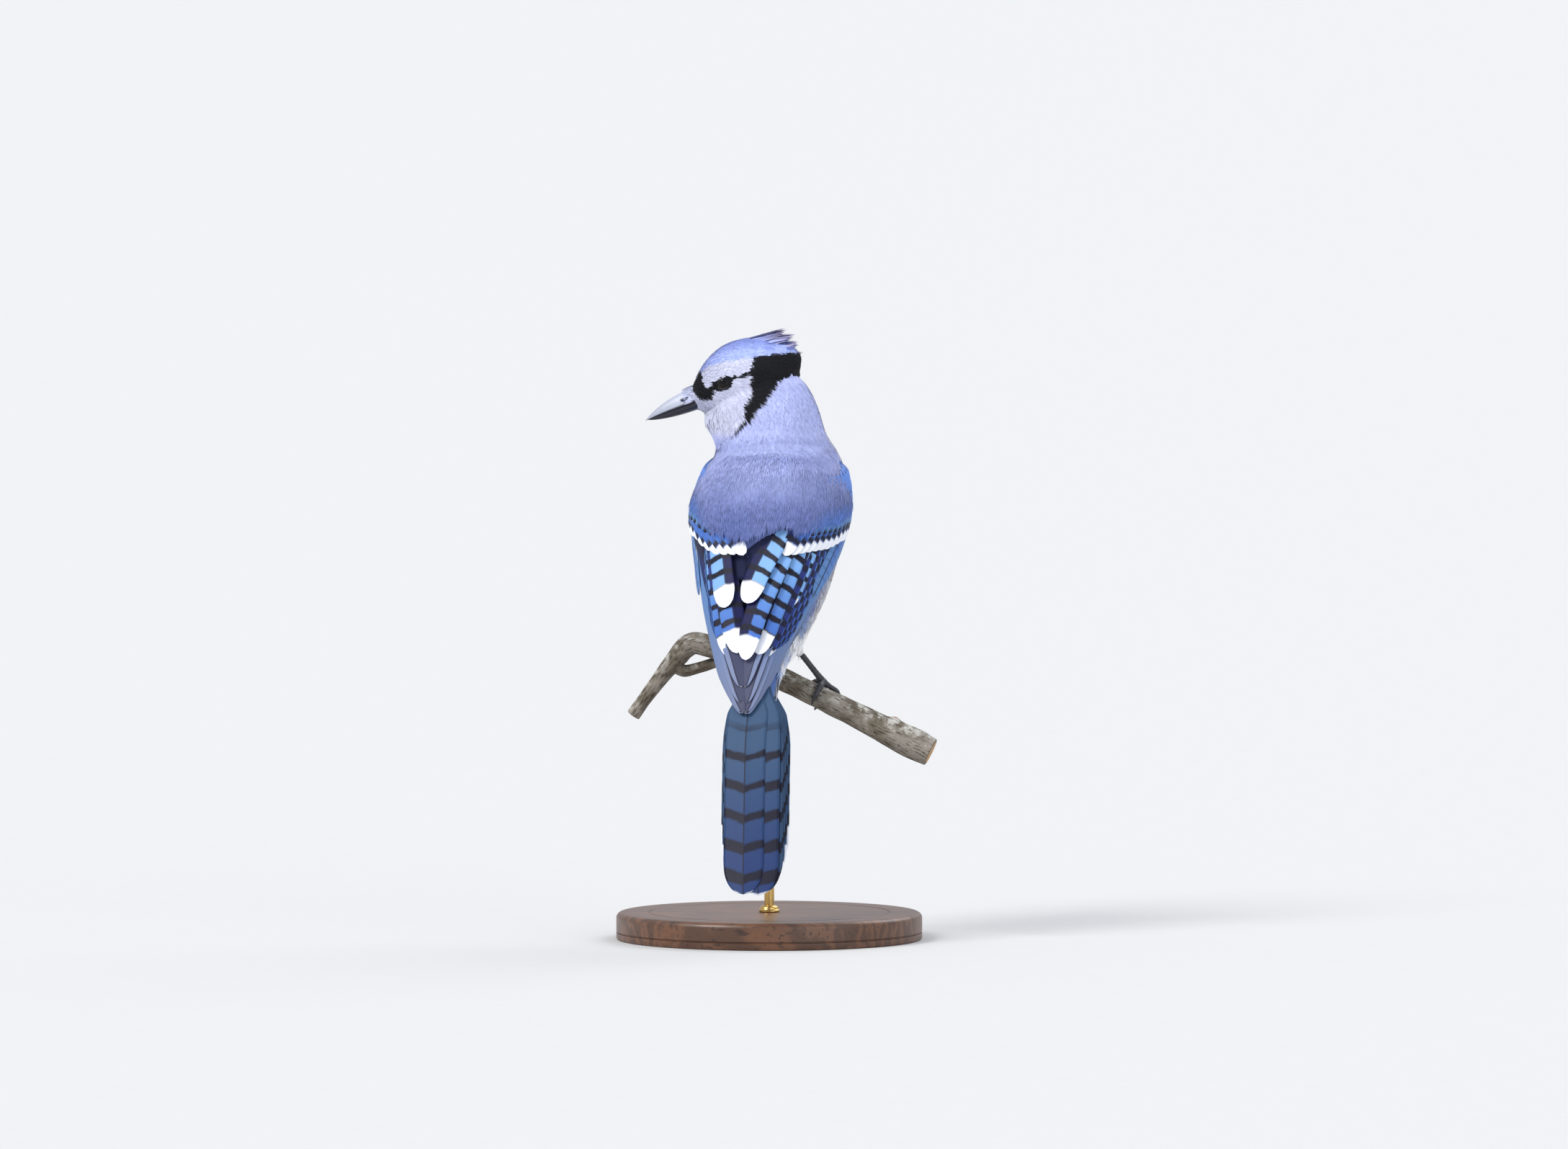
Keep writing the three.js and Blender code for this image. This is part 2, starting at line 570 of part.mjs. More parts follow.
// The arm, which every wing feather grows from.
function wingCore(side) {
  const rows = steps(8).map((x) => mix(0.05, 0.54, x));
  const middle = side > 0 ? -8 : 4;
  const inner = (share) => (share < 0.4 ? mix(78, 24, ease(clamp((share - 0.05) / 0.35, 0, 1))) : middle);
  const grid = (lift) => rows.map((share) => steps(7).map((x) => (
    onSheet(share, side * mix(99, inner(share), x), lift(Math.sin(Math.PI * clamp(0.1 + x, 0, 0.5)), share)).at)));
  const outer = (swell, share) => mix(-2.4, -1.2, swell) - 1.6 * ease(clamp((share - 0.36) / 0.14, 0, 1));
  return slab(grid(outer), grid((swell) => mix(-3.4, -4.2, swell)));
}

// The line where the wings meet, as a wall that fills one side.
function meetingWall(side) {
  const wall = new THREE.Shape();
  const x = (z) => mix(-1.6, MEETING, ease(clamp((z - 108) / 30, 0, 1))) + (side * GAP) / 2;
  const heights = steps(10).map((v) => mix(60, 260, v));
  wall.moveTo(side * -CUT_SIDE / 2, heights[0]);
  heights.forEach((z) => wall.lineTo(x(z), z));
  wall.lineTo(side * -CUT_SIDE / 2, heights[heights.length - 1]);
  const block = new THREE.ExtrudeGeometry(wall, { depth: CUT_SIDE, bevelEnabled: false });
  return solidFromGeometry(block.rotateX(Math.PI / 2).translate(0, CUT_SIDE / 2, 0));
}

function wing(side, flesh) {
  const vanes = [...flightFeathers(side), ...coverts()].map((feather) => wingVane(side, feather));
  return largest(join([wingCore(side), ...vanes]).subtract(flesh).subtract(meetingWall(side)));
}

function tailVanes(grow = 0) {
  const [root, tip] = [V(...TAIL_ROOT), V(...TAIL_TIP)];
  const down = tip.clone().sub(root);
  const out = V(0, down.z, -down.y).normalize();
  return RECTRICES.flatMap(({ left, right, share, half }, pair) => [left, right].map((sideways, k) => {
    const level = TAIL_STEP * (RECTRICES.length * 2 - 1 - (pair * 2 + k)) - TAIL_STEP * RECTRICES.length;
    return vane({
      half: half + grow, thick: TAIL_THICK + 2 * grow, rows: [0, 0.15, 0.5, 0.84, 0.95, 1], tipStart: 0.84, wideFrom: 0.15,
      line: (v) => ({
        at: root.clone().addScaledVector(down, v * share)
          .addScaledVector(V(1, 0, 0), sideways * mix(0.6, 1, ease(clamp(v * 3, 0, 1))))
          .addScaledVector(out, level * mix(0.5, 1, clamp(v * 3, 0, 1)) + TAIL_BOW * 4 * v * (1 - v)),
        across: V(1, 0, 0),
        out,
      }),
    });
  }));
}

// The branch

function stickPoints(table, rings) {
  const rows = steps(rings).map((share) => along(table, share));
  return { points: rows.map(([x, y, z]) => V(x, y, z)), radii: rows.map((row) => row[3]) };
}

function stick(table, rings, sides, grow = 0) {
  const { points, radii } = stickPoints(table, rings);
  return tube(points, radii.map((r) => r + grow), sides);
}

function branch(grow = 0) {
  return join([stick(BRANCH, BRANCH_RINGS, BRANCH_SIDES, grow), stick(SHOOT, 6, 8, grow)]);
}

// The branch where its middle line passes a sideways place: middle, way along it to the right, its radius.
function branchAt(x) {
  const share = steps(400).reduce((best, s) => (
    Math.abs(along(BRANCH, s)[0] - x) < Math.abs(along(BRANCH, best)[0] - x) ? s : best), 0);
  const [a, b] = [along(BRANCH, share - 0.01), along(BRANCH, share + 0.01)];
  const row = along(BRANCH, share);
  return { middle: V(row[0], row[1], row[2]), way: V(a[0] - b[0], a[1] - b[1], a[2] - b[2]).normalize(), radius: row[3] };
}

// Legs and feet

// A place round the branch: degrees from its top towards the tail, mm along it, mm from its middle line.
function roundBranch(foot, turn, drift, reach) {
  const { middle, way } = branchAt(foot);
  const top = V(0, 0, 1).addScaledVector(way, -way.z).normalize();
  const rear = V(0, 0, 0).crossVectors(top, way).normalize();
  if (rear.y > 0) rear.negate();
  const angle = THREE.MathUtils.degToRad(turn);
  return middle.clone().addScaledVector(way, drift)
    .addScaledVector(top, Math.cos(angle) * reach).addScaledVector(rear, Math.sin(angle) * reach);
}

// A foot on the branch, and its claws as pieces of their own.
function footNodes(leg, perch, flesh) {
  const { side, foot } = LEGS[leg];
  const { radius } = branchAt(foot);
  const made = {};
  const toes = TOES.map(({ name, turn, drift, from, to, claw }) => {
    const rows = steps(5);
    const radii = rows.map((v) => mix(from, to, v) * (1 + 0.12 * Math.cos(v * 4 * Math.PI)));
    const points = rows.map((v, i) => (
      roundBranch(foot, turn * v, drift * side * Math.sin(v * Math.PI * 0.5), radius + GAP + radii[i] * 0.94)));
    const [first, last] = [turn + Math.sign(turn) * 5.5, turn + Math.sign(turn) * claw];
    const clawRows = steps(4);
    const clawRadii = clawRows.map((v) => mix(to * 0.8, CLAW_TIP_RADIUS, v ** 0.9));
    const clawPoints = clawRows.map((v, i) => (
      roundBranch(foot, mix(first, last, v), drift * side, radius + GAP + clawRadii[i] + 1.1 * Math.sin(Math.PI * v) + 0.1)));
    made[`claw_${leg}_${name}`] = tube(clawPoints, clawRadii, 6);
    return tube(points, radii, 8);
  });
  const tread = ball(roundBranch(foot, 0, 0, radius + GAP + 1.3), 2.2, 8, 6);
  made[`foot_${leg}`] = join([tread, ...toes]).subtract(perch).subtract(flesh);
  return made;
}

function legNodes(leg, flesh, perch) {
  const { foot, heel, cuff } = LEGS[leg];
  const ankle = roundBranch(foot, 0, 0, branchAt(foot).radius + GAP + 2.4);
  const way = V(...heel).sub(ankle);
  const shaft = (rows, radius, grow) => {
    const ends = rows.map((v, i) => v + (i === 0 ? -grow : i === rows.length - 1 ? grow : 0) / way.length());
    return tube(ends.map((v) => ankle.clone().addScaledVector(way, v)), rows.map((v) => radius(v) + grow), 10);
  };
  const bare = steps(4).map((v) => v * (cuff - GAP / way.length()));
  const tarsus = (grow) => shaft(bare, (v) => TARSUS_RADIUS * (1 + 0.3 * (1 - v / cuff) ** 4), grow);
  const covered = steps(4).map((v) => mix(cuff, 1.15, v));
  const thigh = shaft(covered, (v) => mix(CUFF_RADIUS, THIGH_RADIUS, ((v - cuff) / (1.15 - cuff)) ** 0.9), 0);
  const made = footNodes(leg, perch, flesh);
  made[`foot_${leg}`] = largest(made[`foot_${leg}`].subtract(tarsus(GAP)));
  made[`tarsus_${leg}`] = largest(tarsus(0).subtract(flesh));
  made[`thigh_${leg}`] = largest(thigh.subtract(flesh).subtract(perch));
  return made;
}

// The stand

function standNodes(perch) {
  const profile = [
    V(0, 0), V(STAND_RADIUS, 0), V(STAND_RADIUS, STAND_THICK - STAND_EDGE),
    ...steps(4).map((v) => V(STAND_RADIUS - STAND_EDGE + STAND_EDGE * Math.cos(v * Math.PI * 0.5),
      STAND_THICK - STAND_EDGE + STAND_EDGE * Math.sin(v * Math.PI * 0.5))).slice(1),
    V(0, STAND_THICK),
  ].map((p) => new THREE.Vector2(p.x, p.y));
  const base = solidFromGeometry(new THREE.LatheGeometry(profile, 40).rotateX(Math.PI / 2));
  const foot = STAND_THICK + GAP;
  const collar = [[0, foot], [ROD_COLLAR_RADIUS, foot], [ROD_COLLAR_RADIUS, foot + ROD_COLLAR_HEIGHT * 0.6],
    [ROD_RADIUS, foot + ROD_COLLAR_HEIGHT], [ROD_RADIUS, 125], [0, 125]].map(([x, y]) => new THREE.Vector2(x, y));
  const rod = solidFromGeometry(new THREE.LatheGeometry(collar, 20).rotateX(Math.PI / 2));
  const above = beyond(V(0, 0, branchAt(0).middle.z), V(0, 0, 1));
  return { stand_base: base, stand_rod: largest(rod.subtract(perch).subtract(above)) };
}

// The whole

function build() {
  const flesh = bodyFlesh(0);
  const head = headLoft();
  const around = bodyFlesh(GAP);
  const perch = branch(GAP);
  const clear = join([around, ...tailVanes(GAP).slice(0, 2)]);
  const whole = flesh.add(head);

  const tail = spineAt(TAIL_CUT);
  const neck = spineAt(NECK_CUT);
  const rise = THREE.MathUtils.degToRad(THROAT_CUT.rise);
  const throatUp = FORWARD.clone().multiplyScalar(Math.sin(rise)).add(V(0, 0, Math.cos(rise)));
  const throat = inHead(THROAT_CUT.f, 0, THROAT_CUT.u);
  const part = (at, way, sign) => beyond(at.clone().addScaledVector(way, (sign * GAP) / 2), way.clone().multiplyScalar(sign));
  const aboveTail = part(tail.middle, tail.up, 1);
  const belowTail = part(tail.middle, tail.up, -1);
  const aboveNeck = part(neck.middle, neck.up, 1);
  const belowNeck = part(neck.middle, neck.up, -1);
  const aboveThroat = part(throat, throatUp, 1);
  const belowThroat = part(throat, throatUp, -1);
  const bare = largest(whole.intersect(aboveThroat).intersect(aboveNeck));
  const bill = billNodes();
  const billRoot = beyond(inHead(BILL_BASE[0] - GAP, 0, BILL_BASE[1]), FORWARD.clone().add(V(0, 0, -0.25)));

  const nodes = {
    head: largest(join([withEyeSockets(bare.subtract(billRoot)), ...crestVanes()])
      .intersect(aboveThroat).intersect(aboveNeck)),
    neck: largest(whole.intersect(aboveNeck).intersect(belowThroat)),
    torso: largest(flesh.intersect(aboveTail).intersect(belowNeck)),
    tail: largest(join([flesh, ...tailVanes()]).intersect(belowTail)),
    eye_left: ball(eyeMiddle(1), EYE.radius, 14, 8),
    eye_right: ball(eyeMiddle(-1), EYE.radius, 14, 8),
    ...bill,
    wing_right: wing(1, clear),
    wing_left: wing(-1, clear),
    ...legNodes('right', around, perch),
    ...legNodes('left', around, perch),
    branch: largest(branch()),
    ...standNodes(perch),
  };
  return nodes;
}

const PAINT = [
  [/^head/, 'crown'], [/^neck/, 'nape'], [/^torso|^thigh/, 'back'], [/^wing/, 'wing'], [/^tail/, 'tail'],
  [/^bill/, 'bill'], [/^eye/, 'eye'], [/^tarsus|^foot/, 'leg'], [/^claw/, 'claw'], [/^branch/, 'bark'],
  [/^stand_base/, 'base'], [/^stand_rod/, 'rod'],
];

function meshOf(name, solid) {
  const { vertProperties, triVerts } = solid.getMesh();
  const geometry = new THREE.BufferGeometry()
    .setAttribute('position', new THREE.BufferAttribute(Float32Array.from(vertProperties), 3))
    .setIndex(new THREE.BufferAttribute(Uint32Array.from(triVerts), 1));
  geometry.computeVertexNormals();
  const [color, roughness] = COLOURS[PAINT.find(([pattern]) => pattern.test(name))[1]];
  const metalness = name === 'stand_rod' ? 1 : 0;
  const mesh = new THREE.Mesh(geometry, new THREE.MeshStandardMaterial({ color, roughness, metalness }));
  mesh.name = name;
  return mesh;
}

const jay = new THREE.Group();
jay.name = 'blue_jay';
for (const [name, solid] of Object.entries(build())) {
  if (solid) jay.add(meshOf(name, solid));
}

export default jay;
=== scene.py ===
"""Looks of a life-size blue jay on a short cut branch: plumage, eyes, bill, feet, perch and display stand.

Every length here is in millimetres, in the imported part's frame, and becomes metres where a mesh is made.
The bird faces +Y with its head turned over its left shoulder, so the camera sees its back and left cheek.
Plumage is mesh: a smooth skin under thousands of small barbed feathers that follow the lie of the coat, and
flight and tail feathers as single vanes with a shaft. Colours come from functions of places on the bird.
"""

import math

import bpy
import numpy as np
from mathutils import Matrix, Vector
from mathutils.bvhtree import BVHTree


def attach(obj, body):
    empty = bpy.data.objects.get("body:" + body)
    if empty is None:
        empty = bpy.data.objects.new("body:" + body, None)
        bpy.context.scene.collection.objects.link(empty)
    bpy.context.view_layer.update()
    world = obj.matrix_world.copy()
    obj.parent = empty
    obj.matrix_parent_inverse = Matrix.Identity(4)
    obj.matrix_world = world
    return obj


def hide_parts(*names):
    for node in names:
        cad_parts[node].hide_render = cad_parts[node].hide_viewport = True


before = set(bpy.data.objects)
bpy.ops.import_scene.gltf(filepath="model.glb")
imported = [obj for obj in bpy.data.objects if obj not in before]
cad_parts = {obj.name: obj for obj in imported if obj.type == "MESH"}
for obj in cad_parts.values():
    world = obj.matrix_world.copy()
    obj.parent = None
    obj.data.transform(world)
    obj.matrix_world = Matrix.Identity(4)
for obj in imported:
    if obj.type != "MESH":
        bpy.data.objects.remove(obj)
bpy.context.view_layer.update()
chance = np.random.default_rng(41)

MM = 0.001
X_AXIS = np.array([1.0, 0.0, 0.0])
Z_AXIS = np.array([0.0, 0.0, 1.0])

# Stations up the body, from the tail coverts to inside the head: middle x, y, z, half width under the
# wings, half width in front of them, depth towards the back and towards the belly
SPINE = [
    [4.0, -47.6, 88, 5.4, 6.0, 1.4, 2.4],
    [2.8, -41.8, 100, 8.4, 9.0, 2.4, 4.8],
    [1.2, -35.4, 112, 10.0, 11.5, 3.2, 7.2],
    [-0.8, -27.6, 124, 12.6, 15.0, 5.8, 9.4],
    [-2.0, -15.7, 139, 17.6, 23.6, 12.0, 13.0],
    [-2.1, -3.1, 157, 24.0, 29.6, 20.5, 23.2],
    [-2.0, 7.6, 176, 28.6, 33.0, 24.5, 30.5],
    [-1.0, 15.3, 195, 29.6, 33.4, 27.5, 30.0],
    [-0.2, 18.2, 211, 28.6, 30.6, 27.0, 26.5],
    [-3.0, 16.8, 222, 26.0, 26.4, 25.0, 22.5],
    [-4.9, 14.2, 231, 26.0, 26.2, 21.6, 19.8],
    [-6.0, 11.8, 242, 23.4, 23.4, 17.0, 16.5],
    [-6.5, 11.0, 251, 17.5, 17.5, 12.5, 12.5],
    [-8.0, 11.0, 258, 8.0, 8.0, 6.0, 6.0],
]
SPINE_HEIGHTS = [row[2] for row in SPINE]
SQUARENESS = 2.2  # of the body's section: 2 is an ellipse

# The head's own frame: f forwards, l to its left, u up. Stations from the bill back to the nape: f,
# middle u, half height, half width
HEAD_AT = np.array([-16.7, 11.0, 248.0])
HEAD_YAW = math.radians(95)
FORWARD = np.array([-math.sin(HEAD_YAW), math.cos(HEAD_YAW), 0.0])
LEFTWARD = np.array([-math.cos(HEAD_YAW), -math.sin(HEAD_YAW), 0.0])
HEAD = [
    [21.5, -8.9, 4.6, 4.6],
    [19.5, -7.6, 6.6, 6.2],
    [16.5, -4.6, 10.3, 8.8],
    [12.0, -1.6, 13.3, 11.2],
    [6.0, 0.8, 15.6, 13.0],
    [-1.0, 1.9, 17.0, 14.3],
    [-8.0, 2.5, 17.4, 14.6],
    [-15.0, 3.9, 15.6, 13.4],
    [-21.0, 5.6, 12.0, 10.6],
    [-25.5, 7.4, 7.6, 6.6],
    [-27.5, 8.0, 3.6, 3.0],
]
BILL_BASE = (19.6, -8.6)
BILL_TIP = (41.2, -18.0)
EYE_F, EYE_U, EYE_RADIUS, EYE_FRONT = 4.6, -1.3, 4.4, 12.5
# The slit between the eye's corners slopes down towards the bill by about 20 degrees
SLIT_COS, SLIT_SIN = 0.94, 0.34

# The sheet over the back and the folded wings: middle x, y, z, half width, depth to the back
SHEET = [
    [-1.5, 17.5, 226, 25.4, 25.5],
    [0.0, 17.0, 214, 29.2, 29.0],
    [-0.5, 13.7, 200, 33.8, 31.5],
    [-1.8, 7.3, 184, 35.4, 29.5],
    [-2.2, -2.4, 165, 31.0, 26.0],
    [-3.0, -13.0, 147, 25.8, 22.0],
    [-3.6, -23.5, 130, 19.4, 17.0],
    [-2.8, -34.0, 115, 13.4, 11.0],
    [-1.4, -43.8, 100.5, 4.6, 6.4],
]
# The mantle on the sheet: share, angles of its left and right edge, height in the middle and at the edges
MANTLE = [
    [-0.13, -84, 84, -3.4, -5.0],
    [-0.06, -88, 88, -1.2, -3.6],
    [0.03, -89, 89, 1.0, -1.4],
    [0.12, -79, 82, 2.0, 0.9],
    [0.2, -64, 67, 2.2, 1.2],
    [0.28, -50, 55, 1.7, 1.2],
    [0.33, -43, 44, 1.3, 1.1],
    [0.37, -36, 26, 1.0, 0.9],
    [0.41, -23, 8, 0.7, 0.7],
    [0.45, -12, -6, 0.3, 0.3],
]

# Where the mantle's feathers end over the wings: angle on the sheet and share down it
MANTLE_HEM = np.array([
    [-104, 0.17], [-95, 0.21], [-70, 0.26], [-54, 0.315], [-43, 0.37], [-33, 0.402],
    [-23, 0.425], [-15, 0.437], [-7, 0.443], [1, 0.425], [10, 0.400], [23, 0.385],
    [32, 0.400], [48, 0.380], [64, 0.330], [83, 0.275], [95, 0.23], [104, 0.18],
])
# Where its soft base lies over the sheet: share, height in the middle and at the sides
MANTLE_BED = np.array([
    [-0.19, -7.0, -8.5], [-0.13, -5.2, -6.9], [-0.06, -3.1, -5.0], [0.03, -0.9, -2.6], [0.12, 0.1, -0.4],
    [0.20, 0.3, 0.5], [0.28, 0.4, 0.8], [0.36, 0.7, 0.9], [0.50, 0.7, 0.9],
])
# The roots of the crest's plumes in the head's frame, from the top down: f, u and half width
CREST_ROOTS = np.array([
    [5.0, 15.9, 4.4],
    [0.0, 17.6, 5.4],
    [-5.0, 18.5, 6.4],
    [-8.5, 18.3, 7.4],
    [-12.0, 16.8, 8.4],
    [-14.5, 14.6, 8.8],
    [-16.5, 12.4, 8.8],
    [-18.5, 10.0, 8.0],
])
# The crest's points: share of the roots where each tuft starts, then f and u of its tip. The last row only
# closes the tuft before it.
CREST_TUFTS = np.array([
    [0.00, -23.6, 22.9],
    [0.36, -26.5, 20.6],
    [0.60, -28.8, 17.2],
    [0.80, -29.2, 12.8],
    [1.00, 0.0, 0.0],
])

# Depth of the feathers over the skin
BODY_COAT = 1.9
HEAD_COAT = 1.2
PATCH = 0.003  # side of a small feather's patch on its map

# Colours, in sRGB shares
CROWN = (0.65, 0.71, 0.94)
CROWN_HIGH = (0.43, 0.49, 0.76)
CROWN_DARK = (0.17, 0.22, 0.52)
NAPE = (0.71, 0.74, 0.92)
MANTLE_BLUE = (0.45, 0.495, 0.705)
MANTLE_DUSK = (0.33, 0.39, 0.62)
SHOULDER = (0.34, 0.50, 0.82)
CREST_MID = (0.42, 0.47, 0.74)
CREST_DEEP = (0.17, 0.20, 0.43)
CREST_DARK = (0.09, 0.10, 0.19)
CREST_TIP = (0.70, 0.67, 0.80)
BRISTLE = (0.82, 0.84, 0.95)
FACE = (0.78, 0.79, 0.885)
THROAT = (0.71, 0.71, 0.79)
COLLAR = (0.035, 0.037, 0.065)
BELLY = (0.80, 0.79, 0.77)
FLANK = (0.70, 0.71, 0.76)
VENT = (0.92, 0.92, 0.93)
RUMP = (0.36, 0.48, 0.72)
WING_BLUE = (0.23, 0.40, 0.72)
WING_AZURE = (0.34, 0.50, 0.72)
WING_LIGHT = (0.49, 0.67, 0.88)
WING_NAVY = (0.13, 0.20, 0.49)
WING_DARK = (0.045, 0.06, 0.27)
WING_DUSK = (0.13, 0.165, 0.38)
BAR_BLACK = (0.03, 0.035, 0.13)
WING_WHITE = (0.93, 0.94, 0.97)
PRIMARY_GREY = (0.27, 0.28, 0.38)
PRIMARY_EDGE = (0.46, 0.50, 0.63)


# Small tools


def mix(a, b, share):
    return a + (b - a) * share


def ease(x):
    x = np.clip(x, 0, 1)
    return x * x * (3 - 2 * x)


def band(x, low, high):
    """0 below low and 1 above high, smoothly."""
    return ease((np.asarray(x, float) - low) / (high - low))


def unit(v):
    return v / np.maximum(np.linalg.norm(v, axis=-1, keepdims=True), 1e-9)


def dot(a, b):
    return (a * b).sum(-1)


def linear(colour):
    """An sRGB colour as linear light."""
    c = np.asarray(colour, float)
    return np.where(c <= 0.04045, c / 12.92, ((np.maximum(c, 0) + 0.055) / 1.055) ** 2.4)


def lit(colour):
    """An sRGB colour as a shader takes it: linear light and full cover."""
    return (*linear(colour), 1)


def paint(base, colour, share):
    """Lays a colour over others by shares."""
    return base + (np.asarray(colour, float) - base) * np.asarray(share, float)[..., None]


def along(rows, share):
    """Smooth values of a table of stations at shares of its length."""
    rows = np.asarray(rows, float)
    place = np.clip(np.asarray(share, float), 0, 1) * (len(rows) - 1)
    row = np.minimum(place.astype(int), len(rows) - 2)
    x = (place - row)[..., None]
    a, b, c, d = (rows[np.clip(row + k, 0, len(rows) - 1)] for k in (-1, 0, 1, 2))
    return b + 0.5 * x * (c - a + x * (2 * a - 5 * b + 4 * c - d + x * (3 * (b - c) + d - a)))


def read(table, x, column=1):
    """Values of a table's column, straight between its rows, at places in its first column."""
    return np.interp(x, table[:, 0], table[:, column])


def run_of(points):
    """Distance along a line of places, from its first."""
    return np.concatenate([[0], np.cumsum(np.linalg.norm(np.diff(points, axis=0), axis=1))])


def ripple(points, size, seed=0):
    """Smooth wandering values near 0, from -1 to 1, that change over about that size in millimetres."""
    p = np.asarray(points, float) / size
    total = 0
    for k in range(4):
        turn = np.array([
            math.sin(seed + 2.1 * k), math.cos(seed * 1.3 + k), math.sin(1.7 * seed + 3.3 * k + 1)])
        total = total + np.sin(p @ turn * (1.6 + 0.7 * k) + seed * 5 + k * 1.9)
    return total / 4


# Surfaces of the bird


def spine_up(share):
    step = along(SPINE, np.asarray(share) + 0.01) - along(SPINE, np.asarray(share) - 0.01)
    step = step[..., :3].copy()
    step[..., 0] = 0
    return unit(step)


def body_point(share, angle, grow=0.0):
    """A place on the flesh at a share up the spine and an angle from the back, in radians."""
    share, angle = np.broadcast_arrays(np.asarray(share, float), np.asarray(angle, float))
    row = along(SPINE, share)
    narrow, wide, back, belly = (row[..., k] for k in (3, 4, 5, 6))
    up = spine_up(share)
    dorsal = np.stack([0 * share, -up[..., 2], up[..., 1]], -1)
    sine, cosine = np.sin(angle), np.cos(angle)
    across = np.sign(sine) * np.abs(sine) ** (2 / SQUARENESS)
    away = np.sign(cosine) * np.abs(cosine) ** (2 / SQUARENESS)
    half = mix(narrow, wide, ease(0.35 - 2.2 * cosine))
    depth = np.where(away > 0, back, belly)
    return (row[..., :3] + X_AXIS * (across * (half + grow))[..., None]
            + dorsal * (away * (depth + grow))[..., None])


def in_head(f, l, u):
    f, l, u = (np.asarray(q, float)[..., None] for q in (f, l, u))
    return HEAD_AT + f * FORWARD + l * LEFTWARD + u * Z_AXIS


def from_head(points):
    """Head coordinates f, l, u of places."""
    away = points - HEAD_AT
    return away @ FORWARD, away @ LEFTWARD, away @ Z_AXIS


def in_slit(f, u):
    """Places off the eye's middle as distances along the slit between its corners and across it."""
    return f * SLIT_COS - u * SLIT_SIN, u * SLIT_COS + f * SLIT_SIN


def head_point(share, angle, grow=0.0):
    share, angle = np.broadcast_arrays(np.asarray(share, float), np.asarray(angle, float))
    f, u, height, width = (along(HEAD, share)[..., k] for k in range(4))
    return in_head(f, np.sin(angle) * (width + grow), u + np.cos(angle) * (height + grow))


def sheet_point(share, angle):
    """A place on the sheet at a share down it and degrees from the middle of the back, right positive."""
    share, angle = np.broadcast_arrays(np.asarray(share, float), np.asarray(angle, float))
    rows = lambda s: along(SHEET, (s * (len(SHEET) - 2) + 1) / (len(SHEET) - 1))
    row = rows(share)
    up = rows(share - 0.02)[..., :3] - rows(share + 0.02)[..., :3]
    up[..., 0] = 0
    up = unit(up)
    turn = np.radians(angle)
    dorsal = np.stack([0 * share, -up[..., 2], up[..., 1]], -1)
    return (row[..., :3] + X_AXIS * (np.sin(turn) * row[..., 3])[..., None]
            + dorsal * (np.cos(turn) * row[..., 4])[..., None])


def on_sheet(share, angle, lift=0.0):
    """A place above the sheet and the way out of it there."""
    at = sheet_point(share, angle)
    down = sheet_point(np.asarray(share) + 0.01, angle) - sheet_point(np.asarray(share) - 0.01, angle)
    round_ = sheet_point(share, np.asarray(angle) + 1) - sheet_point(share, np.asarray(angle) - 1)
    out = unit(np.cross(down, round_))
    return at + out * np.asarray(lift, float)[..., None], out


def mantle_grid(rows, columns, sink):
    """Places over the mantle, sunk by a depth, with their share and angle."""
    values = along(MANTLE, np.linspace(0, 1, rows))
    x = np.linspace(0, 1, columns)[None, :]
    share = np.repeat(values[:, :1], columns, 1)
    angle = mix(values[:, 1:2], values[:, 2:3], x)
    lift = mix(values[:, 3:4], values[:, 4:5], (2 * x - 1) ** 6) - sink
    return on_sheet(share, angle, lift)[0]


# Meshes


def quads_of(rows, columns, closed=False, start=0):
    """Faces of a grid of points; closed joins its last column to its first."""
    j, i = np.meshgrid(np.arange(rows - 1), np.arange(columns if closed else columns - 1), indexing="ij")
    right = (i + 1) % columns
    return (start + np.stack([j * columns + i, j * columns + right, (j + 1) * columns + right,
                              (j + 1) * columns + i], -1)).reshape(-1, 4)


def new_mesh(name, points, faces):
    """An object from points in millimetres and an array, or list of arrays, of faces."""
    groups = [np.asarray(g, np.int32) for g in (faces if isinstance(faces, list) else [faces]) if len(g)]
    mesh = bpy.data.meshes.new(name)
    points = np.asarray(points, float).reshape(-1, 3)
    mesh.vertices.add(len(points))
    mesh.vertices.foreach_set("co", (points * MM).astype(np.float32).ravel())
    sizes = np.concatenate([np.full(len(g), g.shape[1]) for g in groups])
    mesh.loops.add(int(sizes.sum()))
    mesh.loops.foreach_set("vertex_index", np.concatenate([g.ravel() for g in groups]).astype(np.int32))
    mesh.polygons.add(len(sizes))
    starts = np.concatenate([[0], np.cumsum(sizes)[:-1]]).astype(np.int32)
    mesh.polygons.foreach_set("loop_start", starts)
    mesh.update(calc_edges=True)
    mesh.validate()
    mesh.polygons.foreach_set("use_smooth", np.ones(len(mesh.polygons), bool))
    thing = bpy.data.objects.new(name, mesh)
    bpy.context.scene.collection.objects.link(thing)
    return thing


def points_of(thing):
    co = np.zeros(len(thing.data.vertices) * 3, np.float32)
    thing.data.vertices.foreach_get("co", co)
    return co.reshape(-1, 3).astype(float) / MM


def set_colour(thing, name, colours):
    """Stores sRGB colours on the points as a colour attribute in linear light."""
    layer = thing.data.color_attributes.new(name, "FLOAT_COLOR", "POINT")
    rgba = np.ones((len(thing.data.vertices), 4), np.float32)
    rgba[:, :3] = linear(np.clip(colours, 0, 1))
    layer.data.foreach_set("color", rgba.ravel())


def set_value(thing, name, values):
    layer = thing.data.attributes.new(name, "FLOAT", "POINT")
    layer.data.foreach_set("value", np.asarray(values, np.float32).ravel())


